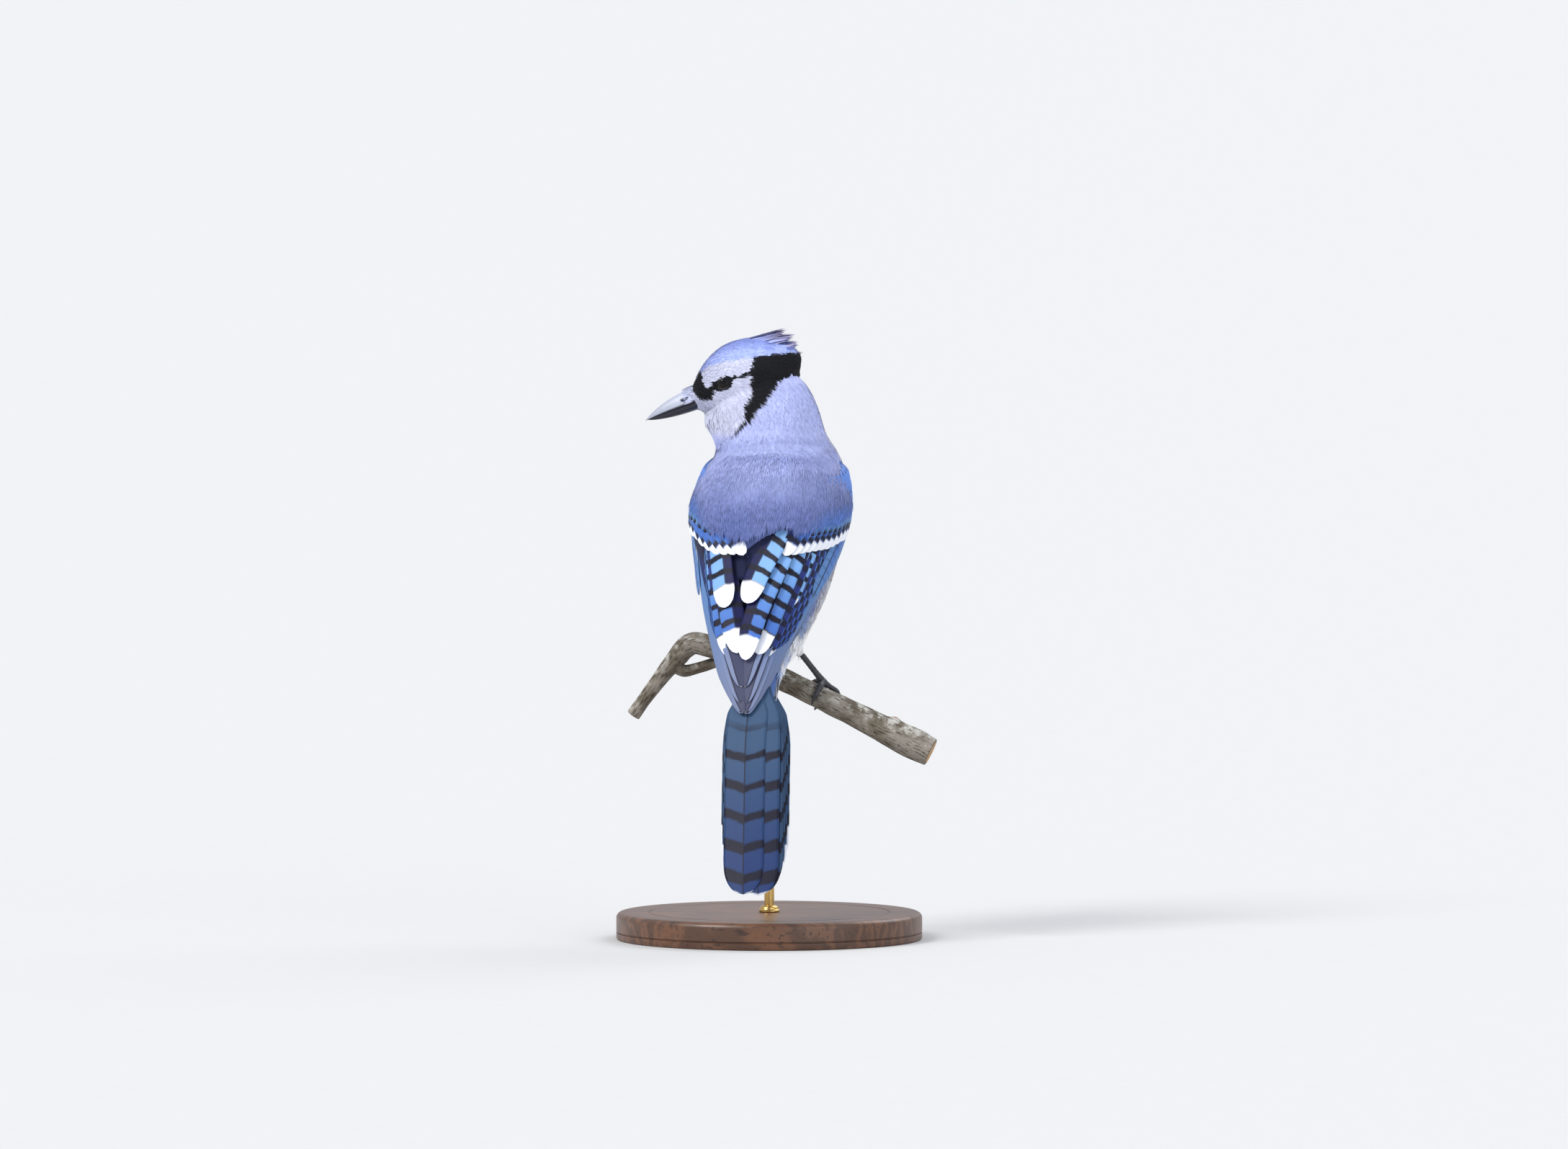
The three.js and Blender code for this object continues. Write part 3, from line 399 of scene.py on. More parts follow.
def set_map(thing, uv):
    """Stores a UV place for every point."""
    layer = thing.data.uv_layers.new(name="OFBake")
    corners = np.zeros(len(thing.data.loops), np.int32)
    thing.data.loops.foreach_get("vertex_index", corners)
    layer.data.foreach_set("uv", np.asarray(uv, np.float32)[corners].ravel())


def finish_piece(thing, material, replaces=()):
    thing.data.materials.clear()
    thing.data.materials.append(material)
    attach(thing, "root")
    if replaces:
        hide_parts(*replaces)
    return thing


def applied(thing):
    """Bakes an object's modifiers into its mesh."""
    evaluated = thing.evaluated_get(bpy.context.evaluated_depsgraph_get())
    mesh = bpy.data.meshes.new_from_object(evaluated)
    thing.modifiers.clear()
    old = thing.data
    thing.data = mesh
    bpy.data.meshes.remove(old)
    return thing


def lofted(name, rings):
    """A closed skin through rings of points, with a hub on each end."""
    rings = np.asarray(rings, float)
    rows, sides = rings.shape[:2]
    points = np.concatenate([rings.reshape(-1, 3), [rings[0].mean(0)], [rings[-1].mean(0)]])
    hub = rows * sides
    i = np.arange(sides)
    first = np.stack([np.full(sides, hub), (i + 1) % sides, i], -1)
    last = np.stack([np.full(sides, hub + 1), hub - sides + i, hub - sides + (i + 1) % sides], -1)
    return new_mesh(name, points, [quads_of(rows, sides, closed=True), first, last])


def slab_mesh(top, bottom):
    """Points and faces of a closed thin solid between two grids."""
    rows, columns = top.shape[:2]
    points = np.concatenate([top.reshape(-1, 3), bottom.reshape(-1, 3)])
    upper = quads_of(rows, columns)
    lower = upper[:, ::-1] + rows * columns
    grid = np.arange(rows * columns).reshape(rows, columns)
    rim = np.concatenate([grid[0], grid[1:, -1], grid[-1, -2::-1], grid[-2:0:-1, 0]])
    after = np.roll(rim, -1)
    side = np.stack([after, rim, rim + rows * columns, after + rows * columns], -1)
    return points, np.concatenate([upper, lower, side])


def tube_rings(points, radii, sides):
    points = np.asarray(points, float)
    ahead = unit(np.gradient(points, axis=0))
    side = Z_AXIS if abs(ahead[0][2]) < 0.9 else np.array([0.0, 1.0, 0.0])
    angle = np.linspace(0, 2 * math.pi, sides, endpoint=False)
    rings = []
    for p, a, r in zip(points, ahead, np.broadcast_to(radii, len(points))):
        side = unit(side - a * (side @ a))
        other = np.cross(a, side)
        rings.append(p + r * (np.cos(angle)[:, None] * side + np.sin(angle)[:, None] * other))
    return np.array(rings)


# Materials


class Shader:
    """A node tree with short calls for the nodes that the finishes use."""

    def __init__(self, tree):
        self.tree = tree

    def node(self, kind, **settings):
        made = self.tree.nodes.new(kind)
        for key, value in settings.items():
            setattr(made, key, value)
        return made

    def feed(self, socket, value):
        if isinstance(value, bpy.types.NodeSocket):
            self.tree.links.new(value, socket)
        else:
            socket.default_value = value

    def calc(self, operation, *values):
        made = self.node("ShaderNodeMath", operation=operation)
        for socket, value in zip(made.inputs, values):
            self.feed(socket, value)
        return made.outputs[0]

    def ramp(self, value, low, high, to_low=0.0, to_high=1.0):
        """A smooth step of a value."""
        made = self.node("ShaderNodeMapRange", interpolation_type="SMOOTHSTEP")
        for socket, v in zip(made.inputs, (value, low, high, to_low, to_high)):
            self.feed(socket, v)
        return made.outputs[0]

    def blend(self, share, a, b, how="MIX"):
        made = self.node("ShaderNodeMix", data_type="RGBA", blend_type=how)
        self.feed(made.inputs["Factor"], share)
        self.feed(made.inputs[6], a)
        self.feed(made.inputs[7], b)
        return made.outputs[2]

    def tint(self, colour, by):
        """A colour multiplied by a grey value."""
        grey = self.node("ShaderNodeCombineColor")
        for socket in grey.inputs:
            self.feed(socket, by)
        return self.blend(1.0, colour, grey.outputs[0], "MULTIPLY")

    def attribute(self, name, output="Fac"):
        return self.node("ShaderNodeAttribute", attribute_name=name).outputs[output]

    def noise(self, scale, detail=3.0, place=None, roughness=0.55):
        made = self.node("ShaderNodeTexNoise")
        if place is None:
            place = self.node("ShaderNodeTexCoord").outputs["Object"]
        self.feed(made.inputs["Vector"], place)
        made.inputs["Scale"].default_value = scale
        made.inputs["Detail"].default_value = detail
        made.inputs["Roughness"].default_value = roughness
        return made.outputs["Fac"]

    def bump(self, height, strength, distance):
        made = self.node("ShaderNodeBump")
        self.feed(made.inputs["Height"], height)
        made.inputs["Strength"].default_value = strength
        made.inputs["Distance"].default_value = distance
        return made.outputs["Normal"]

    def group(self, tree, **values):
        made = self.node("ShaderNodeGroup", node_tree=tree)
        for key, value in values.items():
            self.feed(made.inputs[key.replace("_", " ")], value)
        return made.outputs


def new_group(name, inputs, outputs):
    """A shader node group with named sockets: inputs as name to (kind, value), outputs as name to kind."""
    tree = bpy.data.node_groups.new(name, "ShaderNodeTree")
    for label, (kind, value) in inputs.items():
        socket = tree.interface.new_socket(name=label, in_out="INPUT", socket_type="NodeSocket" + kind)
        socket.default_value = value
    for label, kind in outputs.items():
        tree.interface.new_socket(name=label, in_out="OUTPUT", socket_type="NodeSocket" + kind)
    shader = Shader(tree)
    return tree, shader, shader.node("NodeGroupInput").outputs, shader.node("NodeGroupOutput").inputs


def new_finish(name, roughness=0.6, metallic=0.0, **settings):
    """A material with a Principled BSDF whose even values are set on its own sockets."""
    material = bpy.data.materials.new(name)
    material.use_nodes = True
    shader = Shader(material.node_tree)
    bsdf = material.node_tree.nodes["Principled BSDF"]
    bsdf.inputs["Roughness"].default_value = roughness
    bsdf.inputs["Metallic"].default_value = metallic
    for key, value in settings.items():
        bsdf.inputs[key.replace("_", " ")].default_value = value
    return material, shader, bsdf


def mottle_group():
    """Slow and fine unevenness of a colour, as tint values round 1 and a height."""
    tree, shader, given, made = new_group(
        "mottle", {"Scale": ("Float", 60.0), "Depth": ("Float", 0.1)}, {"Tint": "Float", "Height": "Float"})
    place = shader.node("ShaderNodeTexCoord").outputs["Object"]
    slow = shader.node("ShaderNodeTexNoise")
    shader.feed(slow.inputs["Vector"], place)
    shader.feed(slow.inputs["Scale"], given["Scale"])
    fine = shader.node("ShaderNodeTexNoise")
    shader.feed(fine.inputs["Vector"], place)
    shader.feed(fine.inputs["Scale"], shader.calc("MULTIPLY", given["Scale"], 7.0))
    both = shader.calc("ADD", shader.calc("MULTIPLY", slow.outputs["Fac"], 0.65),
                       shader.calc("MULTIPLY", fine.outputs["Fac"], 0.35))
    swing = shader.calc("MULTIPLY", shader.calc("SUBTRACT", both, 0.5), given["Depth"])
    shader.feed(made["Tint"], shader.calc("MULTIPLY_ADD", swing, 2.0, 1.0))
    shader.feed(made["Height"], both)
    return tree


MOTTLE = mottle_group()


def barb_group():
    """Parallel barbs that leave a shaft at a slant, from distances along the shaft and away from it; their
    tint is their own striping, darker in the grooves as painted shade.
    """
    tree, shader, given, made = new_group(
        "barbs",
        {"From tip": ("Float", 0.0), "From shaft": ("Float", 0.0), "Spacing": ("Float", 0.5)},
        {"Height": "Float", "Tint": "Float"})
    away = shader.calc("ABSOLUTE", given["From shaft"])
    slant = shader.calc("MULTIPLY_ADD", away, 1.25, given["From tip"])
    waver = shader.calc("MULTIPLY", shader.noise(260.0, 2.0), 0.5)
    turn = shader.calc("DIVIDE", shader.calc("ADD", slant, waver), given["Spacing"])
    wave = shader.calc("SINE", shader.calc("MULTIPLY", turn, 2 * math.pi))
    height = shader.calc("MULTIPLY_ADD", wave, 0.5, 0.5)
    shader.feed(made["Height"], height)
    # Tint follows the height: the barbs' striping, darker in the grooves between them as painted shade.
    shader.feed(made["Tint"], shader.calc("MULTIPLY_ADD", height, 0.16, 0.92))
    return tree


BARBS = barb_group()


def plumage_finish():
    """Soft small feathers: the stored colour, a little uneven, with a velvety edge."""
    material, shader, bsdf = new_finish("soft_plumage", 0.78, Sheen_Weight=0.1, Sheen_Roughness=0.45,
                                        Specular_IOR_Level=0.25)
    mottle = shader.group(MOTTLE, Scale=140.0, Depth=0.14)
    colour = shader.tint(shader.attribute("plumage", "Color"), mottle["Tint"])
    shader.feed(bsdf.inputs["Base Color"], colour)
    shader.feed(bsdf.inputs["Normal"], shader.bump(mottle["Height"], 0.25, 0.0002))
    return material


def vane_finish():
    """A flight or tail feather: two webs, a dark shaft, black bars, a white tip and pale rims."""
    material, shader, bsdf = new_finish("wing_vanes", 0.46, Sheen_Weight=0.05, Sheen_Roughness=0.4,
                                        Specular_IOR_Level=0.28)
    from_tip, from_shaft, to_edge = (shader.attribute(n) for n in ("from_tip", "from_shaft", "to_edge"))
    barbs = shader.group(BARBS, From_tip=from_tip, From_shaft=from_shaft, Spacing=0.62)
    waver = shader.calc("MULTIPLY", shader.calc("SUBTRACT", shader.noise(170.0, 2.0), 0.5), 2.4)
    place = shader.calc("ADD", from_tip, waver)
    off_shaft = shader.calc("ABSOLUTE", from_shaft)
    bowed = shader.calc("MULTIPLY_ADD", off_shaft, shader.attribute("bar_bow"), place)
    shifted = shader.calc("ADD", bowed, shader.attribute("bar_shift"))
    turns = shader.calc("DIVIDE", shifted, shader.attribute("bar_gap"))
    phase = shader.calc("ABSOLUTE", shader.calc("SUBTRACT", shader.calc("FRACT", turns), 0.5))
    width = shader.attribute("bar_width")
    bar = shader.ramp(phase, shader.calc("SUBTRACT", width, 0.05), shader.calc("ADD", width, 0.05), 1.0, 0.0)
    bar = shader.calc("MULTIPLY", bar, shader.attribute("bar_strength"))
    inner = shader.ramp(from_shaft, -0.25, 0.45)
    web = shader.blend(inner, shader.attribute("web_outer", "Color"), shader.attribute("web_inner", "Color"))
    rim = shader.ramp(shader.calc("ADD", to_edge, shader.calc("MULTIPLY", waver, 0.12)), 0.1,
                      shader.calc("ADD", shader.attribute("rim_width"), 0.12), 1.0, 0.0)
    web = shader.blend(rim, web, shader.attribute("rim", "Color"))
    barred = shader.blend(bar, web, lit(BAR_BLACK))
    shaft = shader.ramp(off_shaft, 0.18, 0.42, 0.85, 0.0)
    shafted = shader.blend(shaft, barred, lit(BAR_BLACK))
    white = shader.ramp(shader.calc("SUBTRACT", shader.attribute("white_tip"), bowed), -0.7, 0.7)
    tipped = shader.blend(white, shafted, lit(WING_WHITE))
    # The barbs' tint darkens the grooves between them: partly painted shade.
    shader.feed(bsdf.inputs["Base Color"], shader.tint(tipped, barbs["Tint"]))
    shader.feed(bsdf.inputs["Normal"], shader.bump(barbs["Height"], 0.35, 0.00015))
    return material


# Markings

# How far the camera's slant moves a marking forwards, by its distance from the head's middle
SIGHT_SLIP = 0.11
EYE_ASIDE = 12  # the lids' distance from the head's middle
NECK_RADIUS = 26  # of the circle on which the necklace is laid out


def head_markings(points):
    """Colours of the head's plumage, from head coordinates; the same on both cheeks."""
    f, l, u = from_head(points)
    f = f + SIGHT_SLIP * np.abs(l)
    wander = ripple(points, 3.0, 3) * 0.5
    colour = np.broadcast_to(np.array(FACE), points.shape).copy()
    chin = band(-u, 9, 24) * band(f, -4, 8)
    colour = paint(colour, THROAT, 0.55 * chin)
    # Crown over a line that rises from the forehead to the back of the white brow
    brow_top = np.interp(f, [-30, -16.7, -6.7, -4.1, 6.2, 12.4, 15.6, 19],
                         [13.2, 11.5, 10.2, 10.4, 8.5, 6.7, 4.0, -2.0])
    crown = band(u + wander * 0.6, brow_top - 0.5, brow_top + 0.8)
    streak = band(ripple(points * [0.25, 1, 1], 1.6, 9), 0.15, 0.7) * band(-f, 2, 22)
    high = band(u - brow_top, 2.5, 8.0)
    crown_colour = paint(np.broadcast_to(np.array(CROWN), points.shape), CROWN_HIGH, 0.75 * high)
    crown_colour = paint(crown_colour, CROWN_DARK, 0.4 * streak)
    colour = colour * (1 - crown)[:, None] + crown_colour * crown[:, None]
    # Black collar: a broad band under the crest that narrows down the side of the neck
    left = np.interp(u, [-21.7, -16.3, -11.7, -7.1, -0.3, 5.5, 10.6],
                     [-0.1, -3.4, -3.3, -5.3, -6.1, -6.1, -7.0])
    right = np.interp(u, [-21.7, -20.3, -16.3, -11.7, -7.1, -3.7, 0.9, 2.6, 3.2],
                      [-0.6, -2.4, -6.4, -9.8, -13.3, -15.3, -19.0, -23.5, -34])
    under_crest = brow_top + 0.5
    collar = (band(left - f + wander, -0.6, 0.6) * band(f - right + wander, -0.6, 0.6)
              * band(under_crest - u, -0.5, 0.5) * band(u, -22.5, -21))
    colour = paint(colour, COLLAR, collar)
    # Nape and side of the neck behind the collar
    behind = band(right - f - wander, -0.4, 0.4) * band(under_crest - u, -0.5, 0.5)
    low = band(-u, 20, 23) * band(-f, -3, 1)
    colour = paint(colour, NAPE, np.clip(behind + low, 0, 1) * (1 - collar))
    # Faint line from the collar's point down towards the breast
    line_f = np.interp(u, [-31, -28.3, -21.7], [9.0, 6.4, -0.2])
    line = band(0.9 - np.abs(f - line_f), -0.2, 0.5) * band(-u, 20, 22) * band(u, -33, -30) * (l > 0)
    colour = paint(colour, COLLAR, 0.75 * line)
    # Thin line from the eye to the collar
    eye_line = np.interp(f, [-6, -3.6, 0.4, 2.2], [3.6, 3.3, 1.4, 1.0])
    behind_eye = band(0.95 - np.abs(u - eye_line), -0.15, 0.35) * band(f, -8, -6.5) * band(3.5 - f, 0, 0.6)
    # Black lores from the bill to the eye, with a spur up the forehead
    lores_top = np.interp(f, [9, 11.5, 13.2, 14.9, 16.2, 17.2, 18.6, 21],
                          [0.4, -1.6, -3.4, -2.4, 3.4, 4.2, 1.0, -3.0])
    lores_low = np.interp(f, [9, 10.8, 11.6, 15.3, 17, 21], [-2.0, -5.2, -8.4, -9.0, -8.4, -4.0])
    lores = band(lores_top - u + wander * 0.5, -0.5, 0.5) * band(u - lores_low, -0.5, 0.5) * band(f, 8.6, 9.6)
    lean_f, lean_u = in_slit(f - EYE_F - SIGHT_SLIP * EYE_ASIDE, u - EYE_U)
    eye_ring = band(1 - np.hypot(lean_f / 4.9, lean_u / 3.1), -0.08, 0.08)
    colour = paint(colour, COLLAR, np.clip(behind_eye + lores + eye_ring, 0, 1))
    return colour


def body_markings(points):
    """Colours of the body's plumage, from places in the part's frame."""
    x, y, z = points[:, 0], points[:, 1], points[:, 2]
    axis = np.interp(z, SPINE_HEIGHTS, [row[1] for row in SPINE])
    depth = np.interp(z, SPINE_HEIGHTS, [row[5] for row in SPINE])
    rear = (axis - y) / np.maximum(depth, 4)
    wander = ripple(points, 9.0, 5)
    back = np.broadcast_to(np.array(MANTLE_BLUE), points.shape).copy()
    back = paint(back, MANTLE_DUSK, band(200 - z + 6 * wander, 0, 26) * 0.8)
    back = paint(back, NAPE, band(z + 4 * wander, 190, 217))
    back = paint(back, MANTLE_BLUE, 0.28 * band(z, 209, 213) * band(225 - z, 0, 7))
    back = paint(back, RUMP, band(150 - z, 0, 14))
    front = np.broadcast_to(np.array(BELLY), points.shape).copy()
    front = paint(front, FLANK, band(np.abs(x + 2) + 2 * wander, 12, 30) * 0.5 * band(z, 130, 150))
    front = paint(front, THROAT, band(z, 200, 222) * 0.7)
    front = paint(front, VENT, band(142 - z, 0, 14))
    share_back = band(rear + 0.08 * wander, -0.38, 0.02)
    return front * (1 - share_back)[:, None] + back * share_back[:, None]


# The black necklace, as angles round the neck from the back, left negative, and heights
NECKLACE = np.array([
    [-33, 228], [-46, 221], [-67, 214.5], [-95, 209], [-129, 205], [-163, 203], [-192, 204], [-213, 208],
    [-230, 214], [-237, 221], [-219, 228], [-186, 232.5], [-160, 234.5],
])


def necklace(points):
    """Share of black on the band across the breast that joins the collar on both sides of the head."""
    turn = np.degrees(np.arctan2(points[:, 0] + 4, 15 - points[:, 1]))
    turn = np.where(turn > 0, turn - 360, turn) * math.pi / 180 * NECK_RADIUS
    line = along(NECKLACE, np.linspace(0, 1, 160))
    run = line[:, 0] * math.pi / 180 * NECK_RADIUS
    near = np.full(len(points), 99.0)
    for a, z in zip(run, line[:, 1]):
        near = np.minimum(near, np.hypot(turn - a, points[:, 2] - z))
    wander = ripple(points, 5.0, 12)
    shown = band(-turn / NECK_RADIUS, 0.9, 1.8)
    half = mix(0.2, 2.3, shown) + 0.7 * wander
    return band(half - near, -0.7, 0.7) * (points[:, 2] < 241)


def markings(points):
    """Colours of head and body, which meet round the neck."""
    f, _, u = from_head(points)
    near_head = band(u, -27, -21) * band(points[:, 2], 219, 226)
    nape_side = band(-f, 8, 16)
    share = np.clip(near_head * mix(1.0, band(u, -22, -12), nape_side), 0, 1)
    colour = body_markings(points) * (1 - share)[:, None] + head_markings(points) * share[:, None]
    return paint(colour, COLLAR, 0.93 * necklace(points))


# Skin and small feathers


def shape_chin(points):
    """Draws the chin back from under the bill, and fills the throat below it."""
    f, _, u = from_head(points)
    back = 2.6 * band(f, 14, 19) * band(-u, 7.5, 10) * band(u, -16, -13)
    full = 3.0 * band(f, 4, 11) * band(-u, 12.5, 16) * band(u, -27, -17)
    return points + (full - back)[..., None] * FORWARD


def form(name, point_at, rows, sides, coat_depth):
    """A closed form under the coat, from the places of a surface by share and angle."""
    angles = np.linspace(0, 2 * math.pi, sides, endpoint=False)
    share, angle = np.meshgrid(np.linspace(0, 1, rows), angles, indexing="ij")
    return lofted(name, shape_chin(point_at(share, angle, -coat_depth)))


def make_skin():
    """One smooth skin under head, neck, torso and thighs."""
    parts = [form("body_form", body_point, rows=90, sides=96, coat_depth=BODY_COAT),
             form("head_form", head_point, rows=60, sides=72, coat_depth=HEAD_COAT)]
    top, bottom = mantle_grid(60, 48, BODY_COAT), mantle_grid(60, 48, 8.0)
    parts.append(new_mesh("mantle_form", *slab_mesh(top, bottom)))
    for ankle, heel, cuff in THIGHS:
        way = np.array(heel) - np.array(ankle)
        rows = np.linspace(cuff, THIGH_END, 16)
        radii = mix(1.7, 6.2, ((rows - cuff) / (THIGH_END - cuff)) ** 0.9)
        parts.append(lofted("thigh_form", tube_rings(np.array(ankle) + rows[:, None] * way, radii, 24)))
    bpy.ops.object.select_all(action="DESELECT")
    for part in parts:
        part.select_set(True)
    bpy.context.view_layer.objects.active = parts[0]
    bpy.ops.object.join()
    skin = bpy.context.view_layer.objects.active
    skin.name = "bird_skin"
    remesh = skin.modifiers.new("one_surface", "REMESH")
    remesh.mode = "VOXEL"
    remesh.voxel_size = SKIN_VOXEL * MM
    smooth = skin.modifiers.new("soften", "SMOOTH")
    smooth.factor = 0.5
    smooth.iterations = 5
    applied(skin)
    height = points_of(skin)[:, 2]
    share = band(height, 204, 214) * (1 - band(height, 228, 236))
    shoulders = skin.vertex_groups.new(name="shoulders")
    steps = 10
    for step in range(1, steps + 1):
        chosen = np.nonzero(np.round(share * steps).astype(int) == step)[0]
        shoulders.add([int(i) for i in chosen], step / steps, "REPLACE")
    flow = skin.modifiers.new("soft_shoulders", "SMOOTH")
    flow.vertex_group = "shoulders"
    flow.factor = 0.6
    flow.iterations = 45
    applied(skin)
    skin.data.polygons.foreach_set("use_smooth", np.ones(len(skin.data.polygons), bool))
    return skin


# Each leg: where it leaves the foot, its heel inside the belly and the share where feathers begin
THIGHS = [
    ((21.54, -1.0, 117.3), (11.6, -12, 134.5), 0.56),
    ((-14.0, -1.0, 133.3), (-14.5, -5, 150), 0.08),
]
THIGH_END = 1.15  # share of the way from foot to heel where the thigh ends, inside the belly
SKIN_VOXEL = 0.9


def surface_tree(thing):
    mesh = thing.data
    return BVHTree.FromPolygons([v.co for v in mesh.vertices], [p.vertices for p in mesh.polygons])


def settle(tree, points, reach):
    """Moves places onto a surface: places, ways out and which were within reach."""
    at, out, kept = [], [], []
    for i, p in enumerate(points * MM):
        place, normal, _, _ = tree.find_nearest(Vector(p), reach * MM)
        if place is not None:
            at.append(place)
            out.append(normal)
            kept.append(i)
    return np.array(at) / MM, np.array(out), np.array(kept, int)


def lie_of_coat(points, out):
    """The way that the small feathers point, along the surface."""
    f, _, u = from_head(points)
    share = np.interp(points[:, 2], SPINE_HEIGHTS, np.linspace(0, 1, len(SPINE)))
    down = -spine_up(share)
    backwards = -FORWARD + 0.10 * Z_AXIS * band(u, 6, 16)[:, None]
    sag = band(4 - u, 0, 16) * 0.75 + band(-f, 8, 24) * band(14 - u, 0, 10) * 1.6
    on_head = unit(backwards - Z_AXIS * sag[:, None])
    blend = band(points[:, 2], 224, 243)[:, None]
    way = down * (1 - blend) + on_head * blend
    return unit(way - out * dot(way, out)[:, None])


def tract(point_at, low, high, spacing):
    """Places in staggered rows over a lofted surface, with share and angle for each."""
    shares = [low]
    little = 0.002
    while shares[-1] < high:
        pair = np.array([shares[-1], shares[-1] + little])
        at_side = point_at(pair, np.full(2, math.pi / 2))
        at_back = point_at(pair, np.zeros(2))
        step = max(np.linalg.norm(at_side[1] - at_side[0]), np.linalg.norm(at_back[1] - at_back[0])) / little
        shares.append(shares[-1] + spacing / max(step, 1.0))
    found = []
    turn = np.linspace(0, 2 * math.pi, 97)
    for k, s in enumerate(shares):
        ring = point_at(np.full(len(turn), s), turn)
        run = run_of(ring)
        count = max(int(run[-1] / spacing), 6)
        place = (np.arange(count) + 0.5 * (k % 2) + chance.uniform(-0.28, 0.28, count)) / count * run[-1]
        angle = np.interp(place % run[-1], run, turn)
        share = s + chance.uniform(-0.3, 0.3, count) * (shares[1] - shares[0])
        found.append(np.stack([share, angle], -1))
    return np.concatenate(found)


def drop_to(tree, roots, out, ahead, length):
    """How far the surface lies from each feather's straight end, along its way out."""
    drop = np.zeros(len(roots))
    ends = roots + ahead * length[:, None]
    for i, p in enumerate(ends * MM):
        place = tree.find_nearest(Vector(p), 9 * MM)[0]
        if place is not None:
            drop[i] = dot(np.array(place) / MM - ends[i], out[i])
    return drop


def outermost(tree, points, out):
    """Moves places that lie under a surface out onto it."""
    reach = 9.0
    at = points.copy()
    for i, (p, n) in enumerate(zip(points, out)):
        place = tree.ray_cast(Vector((p + reach * n) * MM), Vector(-n), reach * MM)[0]
        if place is not None:
            at[i] = np.array(place) / MM
    return at


def feather_piece(name, roots, out, ahead, length, half, barbs, colours, unwrap, drop, lift, looseness,
                  spread, tips=None):
    """Small feathers, each a fan of pointed barbs on both sides of its shaft, bent to follow the skin.

    A barb has two points at its root, two half way and one at its tip. Its normals lean to the skin's, which
    keeps the coat soft. Tips, if given, are the colours at the feathers' ends.
    """
    count = len(roots)
    lift = np.broadcast_to(lift, count)
    side = unit(np.cross(out, ahead))
    v = (np.arange(barbs) + 0.5) / barbs
    hand = np.array([-1.0, 1.0])[None, :, None]
    shape = (count, 2, barbs)
    slant = np.radians(mix(spread[0], spread[1], v ** 0.8))[None, None, :] + chance.normal(0, 0.05, shape)
    reach = half[:, None, None] / math.sin(math.radians(spread[0])) * 0.72 * mix(1.0, 1.25, v)
    reach = reach * chance.uniform(0.86, 1.12, shape)
    stem = np.maximum(length - 1.2 * reach.mean((1, 2)), 0.3 * length)[:, None, None]
    rows = np.array([0.0, 0.0, 0.5, 0.5, 1.0])
    edge = np.array([-0.5, 0.5, -0.5, 0.5, 0.0]) * np.array([0.8, 0.8, 1.0, 1.0, 0.0])
    step = reach[..., None] * rows
    breadth = (stem / barbs * 0.85 + half[:, None, None] * 0.10)[..., None] * edge
    dir_f, dir_s = np.cos(slant)[..., None], (np.sin(slant) * hand)[..., None]
    f = (stem * v)[..., None] + step * dir_f + step * rows * 0.12 - dir_s * breadth
    s = step * dir_s + dir_f * breadth
    each = lambda values: np.asarray(values)[:, None, None, None]
    share = f / each(length)
    wide = np.maximum(each(half), 0.3)
    unrest = looseness * chance.normal(0, 1, shape)[..., None] * rows ** 2
    h = (each(lift) * ease(share * 1.1) + each(drop) * np.clip(share, 0, 1.2) ** 2 + 0.12
         - 0.12 * s ** 2 / wide + unrest)
    spread_out = lambda way: way[:, None, None, None, :]
    points = (spread_out(roots) + f[..., None] * spread_out(ahead) + s[..., None] * spread_out(side)
              + h[..., None] * spread_out(out))
    base = (np.arange(count * 2 * barbs) * 5)[:, None]
    thing = new_mesh(name, points.reshape(-1, 3), [base + np.array([0, 2, 3, 1]), base + np.array([2, 4, 3])])
    tone_and_root_shade = (1 + chance.normal(0, 0.025, (count, 1, 1))) * (1 + chance.normal(0, 0.03, shape))
    # Each barb is painted darker at its root and lighter at its tip: painted shade where the feathers
    # overlap, on top of their random tone.
    tone_and_root_shade = tone_and_root_shade[..., None] * mix(0.93, 1.03, rows)
    tinted = spread_out(colours) + 0 * points
    if tips is not None:
        tinted = tinted + (spread_out(tips) - tinted) * ease(share * 1.3 - 0.3)[..., None]
    set_colour(thing, "plumage", (tinted * tone_and_root_shade[..., None]).reshape(-1, 3))
    across = np.clip(s / wide, -1, 1) * PATCH / 2
    forth = np.clip(share, 0, 1.2) * PATCH
    set_map(thing, np.stack([each(unwrap[:, 0]) + across, each(unwrap[:, 1]) + forth], -1).reshape(-1, 2))
    rounding = spread_out(side) * (0.22 * s / wide)[..., None]
    lean = unit(spread_out(out) + rounding + 0.045 * chance.normal(0, 1, (count, 2, barbs, 1, 3)))
    thing.data.normals_split_custom_set_from_vertices(lean.reshape(-1, 3).astype(np.float32))
    return thing


def covered_by(trees, points, out, reach):
    """Which places have one of the surfaces over them, along the way out."""
    hidden = np.zeros(len(points), bool)
    for i, (p, n) in enumerate(zip(points, out)):
        start = Vector((p + 0.6 * n) * MM)
        hidden[i] = any(t.ray_cast(start, Vector(n), reach * MM)[0] is not None for t in trees)
    return hidden


def round_unwrap(places):
    """A place on the unwrapped loft from share and angle."""
    turn = (places[:, 1] % (2 * math.pi)) / (2 * math.pi)
    return 0.01 + 0.97 * np.stack([turn, places[:, 0]], -1)


def clear_of_face(at):
    """Which places on the head are neither under the bill's horn nor in the eye's opening."""
    f, _, u = from_head(at)
    lean_f, lean_u = in_slit(f - EYE_F, u - EYE_U)
    return (np.hypot(lean_f / 3.5, lean_u / 2.5) > 1) & ((f < 19.4) | (u > -3.6))


